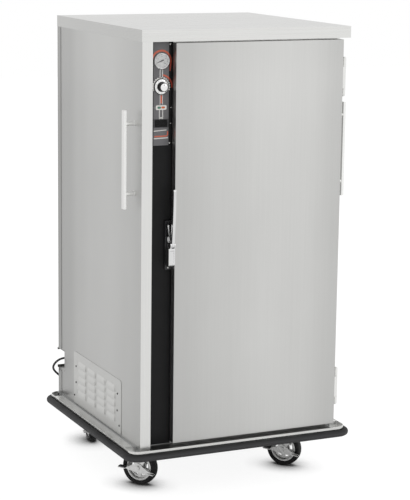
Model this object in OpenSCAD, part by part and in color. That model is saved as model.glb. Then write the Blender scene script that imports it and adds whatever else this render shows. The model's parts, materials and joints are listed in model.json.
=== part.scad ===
// Plate warmer cabinet: a mobile heated cabinet on four braked swivel casters.
// Millimetres. The part stands on z = 0, the front faces -Y, and the origin is the
// middle of the bumper's footprint. Inside on_body() the axes start at the body's
// left front corner on the base ledge: x to the right, y to the back, z up.

/* [Body] */
// Width of the body
body_w = 816; // [800:1:830]
// Depth from the front of the door to the back panel
body_d = 861; // [850:1:880]
// Height of the body above the base ledge
body_h = 1540; // [1500:5:1600]
// Thickness of the outer and inner sheets
skin = 1.5; // [1.2:0.1:2]
// Height of the top cap's lip
cap_h = 43; // [36:1:50]
// How far the top cap stands out over the hinge side
cap_side = 24; // [22:1:28]
// Width of the bright stile left of the controls
stile_w = 41; // [38:1:46]
// Distance from the front of the stile back to the door frame
face_y = 38; // [38:0.5:40]

/* [Base] */
// Depth of the base rails
rail_h = 26; // [24:1:34]
// Width of a base rail
rail_w = 45; // [40:1:48]
// Width of the side ledges between the body and the bumper bar
side_gap = 40; // [34:1:44]
// Width of the front ledge between the body and the bumper bar
front_gap = 22; // [16:1:28]
// Space between the back panel and the bumper bar
rear_gap = 5; // [3:0.5:6]
// Thickness of the bent bar that carries the bumper
bar_t = 3; // [2.5:0.5:4]
// Outer corner radius of the bent bar
bar_r = 40; // [34:1:46]
// How far the bar stands up above the ledge
bar_rise = 1; // [0.5:0.5:4]
// How far the rubber bumper stands out from the bar
bumper_out = 19; // [16:0.5:22]
// Height of the rubber bumper
bumper_h = 27; // [24:0.5:28]

/* [Door] */
// Width of the black recess between the stile and the door
recess_w = 91; // [87:1:93]
// Gap between the door's hinge edge and the side of the body
door_side_gap = 4; // [3:0.5:5]
// Height of the door's lower edge above the ledge
door_z = 11; // [9:1:16]
// Gap between the door and the lip of the top cap
door_top_gap = 6; // [5:0.5:8]
// Thickness of the door without its gasket
door_t = 31; // [29:0.5:31]
// Length of each hinge
hinge_l = 142; // [130:2:150]
// Radius of the hinge barrels
barrel_r = 6.2; // [6:0.1:6.5]

/* [Chamber] */
// Width of the heated chamber
chamber_w = 625; // [615:1:628]
// Depth of the heated chamber
chamber_d = 772; // [750:1:775]
// Height of the chamber floor above the ledge
chamber_z = 62; // [60:1:66]
// Height of the heated chamber
chamber_h = 1403; // [1395:1:1408]
// Number of rod shelves
shelf_count = 5; // [4:1:6]

/* [Controls] */
// Radius of the thermometer's bezel
bezel_r = 30; // [27:0.5:32]
// Radius of the thermostat knob's skirt
knob_r = 29; // [26:0.5:31]
// Width of the rocker switch
rocker_w = 41; // [36:1:43]
// Height of the rocker switch
rocker_h = 20; // [18:1:22]

/* [Vent] */
// Width of the louvred panel
vent_w = 500; // [490:1:520]
// Height of the louvred panel
vent_h = 212; // [206:1:216]
// Radius of the tool that presses a louvre
louvre_r = 20; // [18:0.5:21]
// How far a louvre stands out
louvre_out = 7; // [5:0.5:8]
// Length of a louvre along the panel
louvre_l = 79; // [72:1:84]

/* [Casters] */
// Wheel radius
wheel_r = 68.5; // [66:0.5:69]
// Width of the tread
wheel_w = 36; // [32:1:37]
// Height of the caster's top plate above the floor
caster_h = 166.5; // [166:0.5:170]
// Distance from the swivel's axis back to the axle
trail = 38; // [34:1:40]
// Direction in which each wheel trails
caster_turn = [130, 130, 78, 130]; // [0:1:359]

/* [Cord] */
// Thickness of the mains cord
cord_d = 9; // [8:0.5:9]
// Turns in each of the two layers of the coil
coil_turns = 3; // [2:1:3]
// Radius of the coil's outer turn
coil_r = 68; // [64:1:70]

/* [Hidden] */

$fn = 48;
eps = 0.01;
run_fit = 0.05; // radial clearance of every bore that turns on a pin

steel = [0.78, 0.78, 0.77];
bright = [0.88, 0.88, 0.87];
inner_steel = [0.7, 0.71, 0.71];
galvanised = [0.62, 0.64, 0.65];
black_paint = [0.1, 0.1, 0.1];
rubber_grey = [0.2, 0.2, 0.21];
tread_black = [0.07, 0.07, 0.07];

// Overall places
side_out = side_gap + bar_t + bumper_out;
total_w = body_w + 2 * side_out;
total_d = front_gap + body_d + rear_gap + 2 * (bar_t + bumper_out);
front_y = -total_d / 2 + front_gap + bar_t + bumper_out;
ledge_z = caster_h + rail_h;
deck_t = 2;
bumper_drop = 10; // from the ledge down to the top of the bumper
bar_drop = bumper_drop + bumper_h; // from the ledge down to the bar's lower edge
cap_z = body_h - cap_h;
cap_t = 2;

// Door and chamber, measured on the body
door_x = stile_w + recess_w;
door_x1 = body_w - door_side_gap;
door_z1 = cap_z - door_top_gap;
chamber_x = 160;
chamber_x1 = chamber_x + chamber_w;
chamber_y = face_y + skin;
chamber_y1 = chamber_y + chamber_d;
chamber_z1 = chamber_z + chamber_h;
panel_x1 = 136; // right edge of the black recess panel
seam = 0.3; // gap between neighbouring liner panels
shelf_pitch = chamber_h / (shelf_count + 1);

// Hinge line
hinge_x = body_w + 11;
hinge_y = 18;
hinge_pin_r = 3;
hinge_low_z = 85;
hinge_high_z = 1280;
knuckle_cuts = [0, 0.2, 0.77, 1]; // joints between the three knuckles

// Controls, on the middle line of the recess
control_x = 90;
thermometer_z = 1426;
knob_z = 1334;
lamp_z = 1259;
switch_z = 1202;
shaft_r = 3;

// Latch, on the free edge of the door
latch_x = 107;
lever_x = [118, 128];
lever_pivot = [0, 760]; // y and z of the lever's pin
arm_pivot = [121, 772]; // x and z of the arm's pin
arm_l = 58;
arm_lean = 8;
latch_pin_r = 3;

// Vent panel
vent_y = 183;
vent_z = 5;
vent_t = 1.6;
louvre_cols = 4;
louvre_rows = 5;
louvre_y0 = 286;
louvre_z0 = 42;
louvre_pitch_y = 102.5;
louvre_pitch_z = 29.3;

// Cord notch in the rear left corner
notch_x = 66;
notch_y = 796;
notch_z = [103, 187];

// Blower behind the chamber's left wall
blower_y = 470;
blower_z = 190;
blower_r = 52;
duct_x = [108, 156];
duct_y = [376, 580];
duct_z = [92, 1380];
scroll_top = 92; // where the scroll meets the duct, above the wheel's axis

// Casters: front left, front right, rear left, rear right
caster_at = [[-308, -276], [308, -276], [-308, 312], [308, 312]];
axle_r = 6;
hub_r = 51;
fork_inner = 20;
fork_t = 3.5;
crown_z = 139;
kingpin_r = 8;
brake_y = fork_inner + fork_t + 0.8;
brake_t = 3;
brake_tilt = 5;

// The cord's way, on the body's axes: out of the gland, round behind the corner,
// along the top of the rear bumper, over its edge, down to the floor and to the coil
cord_r = cord_d / 2;
floor_z = -192.5;
cord_points = [
    [38, 828, 150], [26, 828, 150], [10, 830, 149], [-6, 837, 143], [-17, 848, 131],
    [-22, 862, 115], [-19, 877, 98], [-8, 890, 82], [7, 899, 67], [23, 904, 53],
    [40, 904, 39], [56, 900, 26], [71, 894, 14], [86, 887, 4], [102, 883, -3],
    [118, 883, -6], [133, 886, -7.5], [147, 893, -12], [158, 901, -20], [165, 907, -31],
    [169, 911, -47], [171, 912, -66], [172, 913, -86], [173, 913, -106],
    [175, 913, -125], [179, 913, -143], [187, 914, -159], [199, 915, -172],
    [215, 916, -182], [233, 917, -187], [252, 917, -188], [272, 917, -188],
    [291, 917, -188], [310, 917, -188], [328, 917, -188]];
coil_at = [340, 985];
coil_pitch = 10.6;
coil_rise = 11.4;
coil_steps = 24;
coil_lead = 12;
coil_tail = 52;
plug_r = cord_r + coil_rise;

// ---------- helpers ----------

// Moves a shape from the body's axes to the part's axes
module on_body() {
    translate([-body_w / 2, front_y, ledge_z]) children();
}

// A block between two opposite corners
module block(low, high) {
    translate(low) cube(high - low);
}

// A channel between two corners, open underneath
module channel(low, high, wall) {
    difference() {
        block(low, high);
        block(low + [wall, wall, -1], high - [wall, wall, wall]);
    }
}

// A flat rounded rectangle, centred
module round_rect(w, d, r) {
    square([w - 2 * r, d], center = true);
    square([w, d - 2 * r], center = true);
    for (x = [-1, 1], y = [-1, 1])
        translate([x * (w / 2 - r), y * (d / 2 - r)]) circle(r);
}

// A disc or tube along +Y from y0 to y1, at x and z
module rod_y(x, z, r, y0, y1) {
    translate([x, y0, z]) rotate([-90, 0, 0]) cylinder(r = r, h = y1 - y0);
}

// A rod along +X from x0 to x1, at y and z
module rod_x(y, z, r, x0, x1) {
    translate([x0, y, z]) rotate([0, 90, 0]) cylinder(r = r, h = x1 - x0);
}

// An outline drawn in y and z, given thickness along +X from x0 to x1
module plate_x(x0, x1) {
    translate([x0, 0, 0]) rotate([90, 0, 90]) linear_extrude(x1 - x0) children();
}

// An outline drawn in x and z, given thickness along Y from y0 to y1
module plate_y(y0, y1) {
    translate([0, y1, 0]) rotate([90, 0, 0]) linear_extrude(y1 - y0) children();
}

// ---------- a tube along a list of points ----------

function unit(v) = v / norm(v);
function path_length(p) =
    len(p) < 2 ? 0 : norm(p[1] - p[0]) + (len(p) == 2 ? 0 : path_length([for (i = [1 : len(p) - 1]) p[i]]));
function tangent(p, i) =
    i == 0 ? unit(p[1] - p[0])
    : i == len(p) - 1 ? unit(p[i] - p[i - 1])
    : unit(unit(p[i + 1] - p[i]) + unit(p[i] - p[i - 1]));
// The side direction of each ring, carried along so that the tube doesn't twist
function sides(p, i, last) =
    i == len(p) ? []
    : let (t = tangent(p, i), n = unit(last - (last * t) * t)) concat([n], sides(p, i + 1, n));
function ring(c, t, n, r, count) =
    let (b = cross(t, n))
    [for (k = [0 : count - 1]) let (a = 360 * k / count) c + r * (cos(a) * n + sin(a) * b)];

module tube(p, r, count, first_side) {
    n = sides(p, 0, first_side);
    points = [for (i = [0 : len(p) - 1]) each ring(p[i], tangent(p, i), n[i], r, count)];
    walls = [for (i = [0 : len(p) - 2], k = [0 : count - 1])
        let (a = i * count + k, b = i * count + (k + 1) % count)
        each [[a, a + count, b + count], [a, b + count, b]]];
    start = [for (k = [1 : count - 2]) [0, k, k + 1]];
    last = (len(p) - 1) * count;
    finish = [for (k = [1 : count - 2]) [last, last + k + 1, last + k]];
    polyhedron(points, concat(walls, start, finish));
}

// The coil: in along a spiral, up a layer in half a turn, and out again
coil_in = coil_steps * coil_turns;
coil_up = coil_steps / 2;
coil_all = 2 * coil_in + coil_up;
function coil_radius(i) =
    i <= coil_in ? coil_r - coil_pitch * i / coil_steps
    : i <= coil_in + coil_up ? coil_r - coil_pitch * coil_turns
    : coil_r - coil_pitch * (coil_all - i) / coil_steps;
function coil_z(i) = floor_z + cord_r + coil_rise * max(0, min(1, (i - coil_in) / coil_up));
function coil_point(i) =
    let (a = -90 + 360 * i / coil_steps)
    [coil_at.x + coil_radius(i) * cos(a), coil_at.y + coil_radius(i) * sin(a), coil_z(i)];
coil_loops = [for (i = [0 : coil_all]) coil_point(i)];
coil_points = concat([coil_loops[0] - [coil_lead, 0, 0]], coil_loops,
    [for (s = [16, 34, coil_tail]) coil_loops[coil_all] - [s, 0, 0]]);
coil_gap = min([for (i = [0 : coil_all], j = [i + coil_steps / 2 : 1 : coil_all])
    norm(coil_loops[i] - coil_loops[j])]) - cord_d;
echo(coil_least_gap = coil_gap);
echo(cord_length = path_length(cord_points) + path_length(coil_points));

// ---------- base ----------

module base_frame() {
    x0 = rail_w;
    x1 = body_w - rail_w;
    y0 = face_y;
    y1 = body_d - skin;
    color(galvanised) on_body() {
        // deck, with a narrow flange that shows beside the body
        block([-9, y0, 0], [body_w + 9, y1, deck_t]);
        for (x = [0, x1]) channel([x, y0, -rail_h], [x + rail_w, y1, eps], 3);
        for (y = [y0, y1 - rail_w]) channel([x0 - 3, y, -rail_h], [x1 + 3, y + rail_w, eps], 3);
        // cross channels that carry the casters, with drain holes underneath
        for (c = [caster_at[0].y, caster_at[2].y]) {
            y = c - front_y;
            difference() {
                block([x0 - 3, y - 56, -rail_h], [x1 + 3, y + 56, eps]);
                block([x0 + 3, y - 52, -rail_h + 4], [x1 - 3, y + 52, -eps]);
                for (x = [0.35, 0.5, 0.65]) translate([body_w * x, y, -rail_h - 1])
                    cylinder(r = 14, h = 8);
            }
        }
    }
}

module ledge_channels() {
    side_y = [52, body_d - 59];
    color([0.55, 0.55, 0.55]) on_body() {
        channel([stile_w + 2, -front_gap, -rail_h], [body_w - 25, face_y, 0], 2.5);
        channel([-side_gap, side_y[0], -rail_h], [0, side_y[1], 0], 2.5);
        channel([body_w, side_y[0], -rail_h], [body_w + side_gap, side_y[1], 0], 2.5);
    }
}

module bumper_bar() {
    w = total_w - 2 * bumper_out;
    d = total_d - 2 * bumper_out;
    color(bright) translate([0, 0, ledge_z - bar_drop]) linear_extrude(bar_drop + bar_rise)
        difference() {
            round_rect(w, d, bar_r);
            round_rect(w - 2 * bar_t, d - 2 * bar_t, bar_r - bar_t);
        }
}

// Half-round section of the bumper: out from the bar, with a fuller middle and a
// small groove on top, beside the bar
module dee() {
    groove = 3;
    top = bumper_h / 2;
    polygon(concat([for (a = [-90 : 15 : 75]) [bumper_out * pow(max(0, cos(a)), 0.7), top * sin(a)]],
        [[groove, top], [groove, top - groove], [0, top - groove]]));
}

module bumper() {
    w = total_w / 2 - bumper_out;
    d = total_d / 2 - bumper_out;
    mid_z = ledge_z - bumper_drop - bumper_h / 2;
    color(rubber_grey) translate([0, 0, mid_z]) {
        for (s = [0, 180]) rotate(s) {
            translate([w, d - bar_r, 0]) rotate([90, 0, 0]) linear_extrude(2 * (d - bar_r)) dee();
            translate([bar_r - w, d, 0]) rotate([90, 0, 90]) linear_extrude(2 * (w - bar_r)) dee();
            translate([w - bar_r, d - bar_r, 0]) rotate_extrude(angle = 90) translate([bar_r, 0]) dee();
            translate([bar_r - w, d - bar_r, 0]) rotate([0, 0, 90]) rotate_extrude(angle = 90)
                translate([bar_r, 0]) dee();
        }
    }
}

// ---------- outer shell ----------

// The space cut out of the rear left corner for the cord
module cord_notch() {
    block([-5, notch_y, notch_z[0]], [notch_x, body_d + 10, notch_z[1]]);
}

module left_panel() {
    foot = 14; // how far the stile's face reaches below the ledge
    color(steel) on_body() difference() {
        union() {
            block([0, 0, deck_t], [skin, body_d - skin, body_h - 4]);
            // the stile: front face and the edge folded back to the recess
            block([0, 0, -foot], [stile_w, skin, cap_z]);
            block([stile_w - skin, 0, 0], [stile_w, face_y, cap_z]);
        }
        block([-1, vent_y + 32, vent_z + 20], [skin + 1, vent_y + vent_w - 32, vent_z + vent_h - 22]);
        cord_notch();
    }
}

module right_panel() {
    color(steel) on_body()
        block([body_w - skin, face_y + skin, deck_t], [body_w, body_d - skin, body_h - 4]);
}

module back_panel() {
    wrap = 34;
    color(steel) on_body() difference() {
        union() {
            block([-skin, body_d - skin, deck_t], [body_w + skin, body_d, cap_z]);
            block([0, body_d - skin, cap_z - 1], [body_w, body_d, body_h - 4]);
            for (x = [-skin, body_w])
                block([x, body_d - wrap, deck_t], [x + skin, body_d, cap_z]);
        }
        cord_notch();
    }
}

module top_cap() {
    x1 = body_w + cap_side;
    color(bright) on_body() {
        difference() {
            block([-cap_t, -cap_t, cap_z], [x1, body_d + cap_t, body_h]);
            block([0, 0, cap_z - 1], [x1 - cap_t, body_d, body_h - cap_t]);
        }
        // flanges folded in under the front and over the hinge side
        block([skin, -eps, cap_z], [x1 - cap_t, face_y, cap_z + skin]);
        block([body_w, face_y - eps, cap_z], [x1 - cap_t + eps, body_d + eps, cap_z + skin]);
    }
}

module front_frame() {
    color(steel) on_body() difference() {
        block([panel_x1, face_y, deck_t], [body_w, face_y + skin, body_h - 4]);
        block([chamber_x, face_y - 1, chamber_z], [chamber_x1, face_y + 4, chamber_z1]);
    }
}

module recess_panel() {
    color(black_paint) on_body() difference() {
        block([stile_w, face_y, deck_t], [panel_x1, face_y + skin, cap_z]);
        rod_y(control_x, thermometer_z, bezel_r - 4, face_y - 1, face_y + 4);
        rod_y(control_x, knob_z, 5.2, face_y - 1, face_y + 4);
        block([control_x - 16, face_y - 1, lamp_z - 6], [control_x + 16, face_y + 4, lamp_z + 6]);
        block([control_x - rocker_w / 2 + 1, face_y - 1, switch_z - rocker_h / 2 + 1],
            [control_x + rocker_w / 2 - 1, face_y + 4, switch_z + rocker_h / 2 - 1]);
    }
}

// One pressed louvre, open at its lower edge. Its base line is at y = 0, z = 0 on the
// plane x = 0, and it stands out towards -X.
module louvre_form(r) {
    sink = louvre_r - louvre_out;
    run = louvre_l - 2 * sqrt(louvre_r * louvre_r - sink * sink);
    translate([sink, -run / 2, 0]) {
        rotate([-90, 0, 0]) cylinder(r = r, h = run);
        sphere(r);
        translate([0, run, 0]) sphere(r);
    }
}

module louvre_hood() {
    intersection() {
        difference() {
            louvre_form(louvre_r);
            louvre_form(louvre_r - 1.2);
        }
        block([-louvre_out - 1, -louvre_l, 0], [0.6, louvre_l, louvre_r]);
    }
}

module louvre_slot() {
    intersection() {
        louvre_form(louvre_r - 1.2);
        block([-louvre_out - 1, -louvre_l, 0], [vent_t + 1, louvre_l, louvre_r]);
    }
}

module each_louvre() {
    for (c = [0 : louvre_cols - 1], r = [0 : louvre_rows - 1])
        translate([-vent_t, louvre_y0 + c * louvre_pitch_y, louvre_z0 + r * louvre_pitch_z]) children();
}

module vent_panel() {
    corner = 14;
    color(steel) on_body() {
        difference() {
            plate_x(-vent_t, 0) {
                translate([vent_y + vent_w / 2, vent_z + vent_h / 2]) round_rect(vent_w, vent_h, corner);
                translate([vent_y, vent_z]) square([vent_w, corner]);
            }
            each_louvre() louvre_slot();
        }
        each_louvre() louvre_hood();
    }
}

// ---------- heated chamber ----------

module chamber_liner() {
    x0 = chamber_x;
    x1 = chamber_x1;
    y0 = chamber_y;
    y1 = chamber_y1;
    z0 = chamber_z;
    z1 = chamber_z1;
    color(inner_steel) on_body() {
        difference() {
            block([x0 - skin, y0, z0], [x0, y1, z1]);
            // intake holes in rings round the blower's inlet
            for (ring_no = [0 : 3], k = [0 : max(0, 6 * ring_no - 1)])
                rotate_about_blower(60 * k / max(1, ring_no))
                    rod_x(blower_y + 11 * ring_no, blower_z, 4, x0 - 4, x0 + 2);
            // hot-air slots over the duct
            for (c = [0, 1], r = [0 : 7])
                translate([x0 - 4, duct_y[0] + 24 + c * 92, 400 + r * 125]) cube([6, 64, 10]);
        }
        block([x1, y0, z0], [x1 + skin, y1, z1]);
        block([x0 - skin, y1 + seam, z0], [x1 + skin, y1 + seam + skin, z1]);
        for (z = [z0 - seam - skin, z1 + seam])
            block([x0 - skin, y0, z], [x1 + skin, y1 + seam + skin, z + skin]);
    }
}

module rotate_about_blower(a) {
    translate([0, blower_y, blower_z]) rotate([a, 0, 0]) translate([0, -blower_y, -blower_z])
        children();
}

module insulation() {
    back_y = chamber_y1 + 2.5;
    top_z = chamber_z1 + 2.5;
    color([0.85, 0.78, 0.45]) on_body() {
        block([chamber_x1 + 2, 41, deck_t + 1], [body_w - 2, 858, body_h - 5]);
        block([chamber_x - 2, back_y, deck_t + 1], [chamber_x1, 858, body_h - 5]);
        block([chamber_x - 2, 41, top_z], [chamber_x1, back_y - 1, body_h - 5]);
        block([chamber_x - 2, 41, deck_t + 1], [chamber_x1, back_y - 1, chamber_z - 3]);
        difference() {
            block([140, 41, deck_t + 1], [chamber_x - 3, 858, body_h - 5]);
            block([130, duct_y[0] - 2, duct_z[0] - 2], [chamber_x, duct_y[1] + 2, duct_z[1] + 2]);
        }
    }
}

// Upright strips with slots, and the clips that carry the shelves
pilaster_w = 24;
pilaster_t = 11;
pilaster_y = [150, 700];

module pilasters() {
    slot_step = shelf_pitch / 4;
    color(inner_steel) on_body()
        for (y = pilaster_y, side = [0, 1]) mirror_chamber(side) {
            difference() {
                block([chamber_x, y - 12, chamber_z + 1], [chamber_x + pilaster_t, y + 12, chamber_z1 - 1]);
                block([chamber_x - 1, y - 10.5, chamber_z], [chamber_x + pilaster_t - 1.5, y + 10.5, chamber_z1]);
                for (k = [1 : 4 * (shelf_count + 1) - 1])
                    translate([chamber_x + 5, y - 5, chamber_z + k * slot_step - 14]) cube([10, 10, 4]);
            }
            for (k = [1 : shelf_count]) translate([chamber_x + pilaster_t - 1, y, shelf_z(k) - 7]) {
                translate([0, -6, 0]) cube([15, 12, 3]);
                translate([0, -6, -14]) cube([3, 12, 14]);
            }
        }
}

function shelf_z(k) = chamber_z + k * shelf_pitch;

// Mirrors a shape to the chamber's other side wall
module mirror_chamber(side) {
    middle = (chamber_x + chamber_x1) / 2;
    translate([side * 2 * middle, 0, 0]) mirror([side, 0, 0]) children();
}

module shelf() {
    rod = 4;
    wire = 2.6;
    x0 = chamber_x + 18;
    x1 = chamber_x1 - 18;
    y0 = 78;
    y1 = chamber_y1 - 18;
    wires = 19;
    step = (x1 - x0) / (wires + 1);
    for (x = [x0, x1]) rod_y(x, 0, rod, y0 - rod, y1 + rod, $fn = 12);
    for (y = [y0, y1]) rod_x(y, 0, rod, x0, x1, $fn = 12);
    for (i = [1 : wires]) rod_y(x0 + i * step, 0.6, wire, y0, y1, $fn = 8);
}

module shelves() {
    color([0.8, 0.8, 0.8]) on_body() for (k = [1 : shelf_count]) translate([0, 0, shelf_z(k)]) shelf();
}

// ---------- blower and heater ----------

// Scroll outline in y and z: its radius grows under the wheel, then it opens into the duct
module scroll(inset, top) {
    low = duct_y[0] - blower_y + inset;
    high = duct_y[1] - blower_y - inset;
    polygon(concat(
        [for (a = [180 : 15 : 360]) let (r = blower_r + 8 - inset + 0.2 * (a - 180)) [r * cos(a), r * sin(a)]],
        [[high, 55], [high, top], [low, top], [low, 70]]));
}

module blower_housing() {
    wall = 1.5;
    color(galvanised) on_body() {
        translate([0, blower_y, blower_z]) {
            difference() {
                plate_x(duct_x[0], duct_x[1]) scroll(0, scroll_top);
                plate_x(duct_x[0] + wall, duct_x[1] - wall) scroll(wall, scroll_top + 1);
                translate([duct_x[1] - 3, 0, 0]) rotate([0, 90, 0]) cylinder(r = 44, h = 5);
                translate([duct_x[0] - 2, 0, 0]) rotate([0, 90, 0]) cylinder(r = 6, h = 5);
            }
            // motor with its shaft
            translate([duct_x[0] - 62, 0, 0]) rotate([0, 90, 0]) {
                cylinder(r = 38, h = 62);
                translate([0, 0, -8]) cylinder(r = 14, h = 10);
                cylinder(r = 4, h = 62 + 34);
            }
        }
        // duct against the chamber wall, from the scroll up to the top slots
        difference() {
            block([duct_x[0], duct_y[0], blower_z + scroll_top], [duct_x[1], duct_y[1], duct_z[1]]);
            block([duct_x[0] + wall, duct_y[0] + wall, blower_z + scroll_top - 1],
                [duct_x[1] + 2, duct_y[1] - wall, duct_z[1] - wall]);
        }
    }
}

module blower_wheel() {
    blades = 24;
    x0 = duct_x[0] + 8;
    x1 = duct_x[1] - 8;
    color([0.5, 0.5, 0.52]) on_body() translate([0, blower_y, blower_z]) {
        difference() {
            union() {
                rod_x(0, 0, blower_r, x0, x0 + 2);
                rod_x(0, 0, 10, x0, x0 + 22);
            }
            rod_x(0, 0, 4 + run_fit, x0 - 1, x0 + 30);
        }
        difference() {
            rod_x(0, 0, blower_r, x1 - 3, x1);
            rod_x(0, 0, blower_r - 11, x1 - 4, x1 + 1);
        }
        for (k = [0 : blades - 1]) rotate([360 * k / blades, 0, 0])
            translate([x0 + 1, blower_r - 9, 0]) rotate([35, 0, 0]) cube([x1 - x0 - 2.5, 8, 1.2]);
    }
}

// Hairpin heating rods standing in the duct
module heater_element() {
    $fn = 16;
    rod = 4;
    x = (duct_x[0] + duct_x[1]) / 2;
    z0 = blower_z + 104;
    z1 = z0 + 170;
    gap = 24;
    color([0.35, 0.3, 0.28]) on_body() for (k = [0 : 2]) translate([x, duct_y[0] + 40 + k * 52, 0]) {
        for (y = [0, gap]) translate([0, y, z0]) cylinder(r = rod, h = z1 - z0);
        translate([0, gap / 2, z1]) rotate([90, 0, 90]) rotate_extrude(angle = 180)
            translate([gap / 2, 0]) circle(rod);
        // terminals through the duct's outer wall
        for (y = [0, gap]) {
            translate([0, y, z0]) sphere(rod);
            rod_x(y, z0, rod - 1, duct_x[0] - x + skin, 0);
        }
    }
}

// ---------- controls ----------

module thermometer_case() {
    color(bright) on_body() translate([control_x, face_y, thermometer_z]) rotate([90, 0, 0]) {
        rotate_extrude($fn = 72) polygon([[0, -26], [bezel_r - 5, -26], [bezel_r - 5, 0], [bezel_r, 0],
            [bezel_r, 6], [bezel_r - 2, 8], [bezel_r - 3.6, 8], [bezel_r - 4, 4.6], [bezel_r - 5, 4.6],
            [bezel_r - 5, 1], [0, 1]]);
        cylinder(r = 1, h = 4.4);
    }
}

module thermometer_lens() {
    color([0.9, 0.95, 1, 0.3]) on_body()
        rod_y(control_x, thermometer_z, bezel_r - 4.4, face_y - 6, face_y - 4.7);
}

// A long thin pointer with a short tail, at its cold reading
module thermometer_needle() {
    color([0.1, 0.1, 0.1]) on_body() translate([control_x, face_y, thermometer_z])
        rotate([0, -21, 0]) difference() {
            union() {
                plate_y(-3.2, -2.4) polygon([[-21, -0.4], [-21, 0.4], [0, 1.5], [8, 2], [8, -2], [0, -1.5]]);
                rod_y(0, 0, 2.6, -3.6, -2.2);
            }
            rod_y(0, 0, 1 + run_fit, -5, 0);
        }
}

module thermostat() {
    color(galvanised) on_body() {
        block([control_x - 28, face_y + 6, knob_z - 25], [control_x + 28, face_y + 38, knob_z + 25]);
        rod_y(control_x, knob_z, 5, face_y - 2, face_y + 7);
        rod_y(control_x, knob_z, shaft_r, face_y - 18, face_y);
    }
}

module thermostat_knob() {
    color([0.85, 0.85, 0.86]) on_body() translate([control_x, face_y, knob_z]) difference() {
        rotate([90, 0, 0]) rotate_extrude($fn = 72) polygon([[0, 3], [knob_r, 3], [knob_r, 4],
            [knob_r - 4, 6.5], [18.5, 7.5], [17.5, 9], [16.6, 24], [16, 26], [14.5, 27.2], [0, 28]]);
        rod_y(0, 0, shaft_r + run_fit, -19, 1);
        // pointer groove in the skirt
        block([-0.8, -6.6, 19], [0.8, -5, 27]);
    }
}

module lamp_plate() {
    color([0.95, 0.95, 0.94]) on_body() difference() {
        plate_y(face_y - 1.6, face_y) translate([control_x, lamp_z]) round_rect(42, 17, 5);
        for (s = [-1, 1]) translate([control_x + 7.6 * s, 0, lamp_z])
            plate_y(face_y - 3, face_y + 3) round_rect(14, 7.6, 3.6);
    }
}

// Left lens green, right lens amber
module indicator_lamps() {
    for (s = [-1, 1]) color(s < 0 ? [0.15, 0.35, 0.25] : [0.9, 0.35, 0.1]) on_body()
        translate([control_x + 7.6 * s, 0, lamp_z]) {
            plate_y(face_y - 3.2, face_y + 12) round_rect(13.6, 7.2, 3.4);
            plate_y(face_y + 12, face_y + 14) square([8, 5], center = true);
        }
}

module switch_frame() {
    color([0.08, 0.08, 0.08]) on_body() difference() {
        union() {
            plate_y(face_y - 2.4, face_y) translate([control_x, switch_z]) round_rect(rocker_w + 6, rocker_h + 6, 2);
            block([control_x - rocker_w / 2 + 1.2, face_y - 1, switch_z - rocker_h / 2 + 1.2],
                [control_x + rocker_w / 2 - 1.2, face_y + 24, switch_z + rocker_h / 2 - 1.2]);
        }
        block([control_x - rocker_w / 2 + 2.2, face_y - 4, switch_z - rocker_h / 2 + 2.4],
            [control_x + rocker_w / 2 - 2.2, face_y + 16, switch_z + rocker_h / 2 - 2.4]);
    }
}

// The rocker turns about an upright pin. It rests with its left half pressed in.
rocker_y = 5; // depth of the pin behind the panel's face
rocker_tilt = 9;

module switch_rocker() {
    half = rocker_w / 2 - 3.6;
    h = rocker_h / 2 - 3;
    color([0.12, 0.12, 0.12]) on_body() translate([control_x, face_y + rocker_y, switch_z])
        rotate(-rocker_tilt) translate([0, 0, -h]) linear_extrude(2 * h)
            polygon([[-half, -8.5], [-half * 0.5, -8.2], [0, -7.2], [half * 0.5, -8.2], [half, -8.5],
                [half, -4], [4, 1], [2, 4], [-2, 4], [-4, 1], [-half, -4]]);
}

// ---------- door ----------

module door_skin() {
    color(steel) on_body() difference() {
        block([door_x, 0, door_z], [door_x1, door_t, door_z1]);
        block([door_x + skin, skin, door_z + skin], [door_x1 - skin, door_t + 1, door_z1 - skin]);
    }
}

module door_core() {
    color([0.85, 0.78, 0.45]) on_body()
        block([door_x + 2, 2, door_z + 2], [door_x1 - 2, door_t - 2, door_z1 - 2]);
}

// Inner sheet with a raised middle field
module door_liner() {
    raise = 3;
    low = [chamber_x + 14, door_t - skin, chamber_z + 14];
    high = [chamber_x1 - 14, door_t + raise, chamber_z1 - 14];
    color(inner_steel) on_body() difference() {
        union() {
            block([door_x + skin, door_t - skin, door_z + skin], [door_x1 - skin, door_t, door_z1 - skin]);
            block(low, high);
        }
        block(low + [skin, -1, skin], high - [skin, skin, skin]);
    }
}

// Strip and hollow-looking bulb, mitred round the opening
module door_gasket() {
    bulb = 2.4;
    x = [chamber_x - 11, chamber_x1 + 11];
    z = [chamber_z - 11, chamber_z1 + 11];
    y = door_t + 4.2;
    color([0.12, 0.12, 0.12]) on_body() {
        difference() {
            block([x[0] - 7, door_t, z[0] - 7], [x[1] + 7, door_t + 2.4, z[1] + 7]);
            block([x[0] + 7, door_t - 1, z[0] + 7], [x[1] - 7, door_t + 4, z[1] - 7]);
        }
        for (zz = z) rod_x(y, zz, bulb, x[0], x[1]);
        for (xx = x) translate([xx, y, z[0]]) cylinder(r = bulb, h = z[1] - z[0]);
        for (xx = x, zz = z) translate([xx, y, zz]) sphere(bulb);
    }
}

// ---------- hinges ----------

module at_hinges() {
    for (z = [hinge_low_z, hinge_high_z]) translate([0, 0, z]) children();
}

module knuckle(low, high) {
    translate([0, 0, low * hinge_l + (low > 0 ? 0.3 : 0)])
        linear_extrude((high - low) * hinge_l - (low > 0 ? 0.3 : 0) - (high < 1 ? 0.3 : 0)) children();
}

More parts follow.
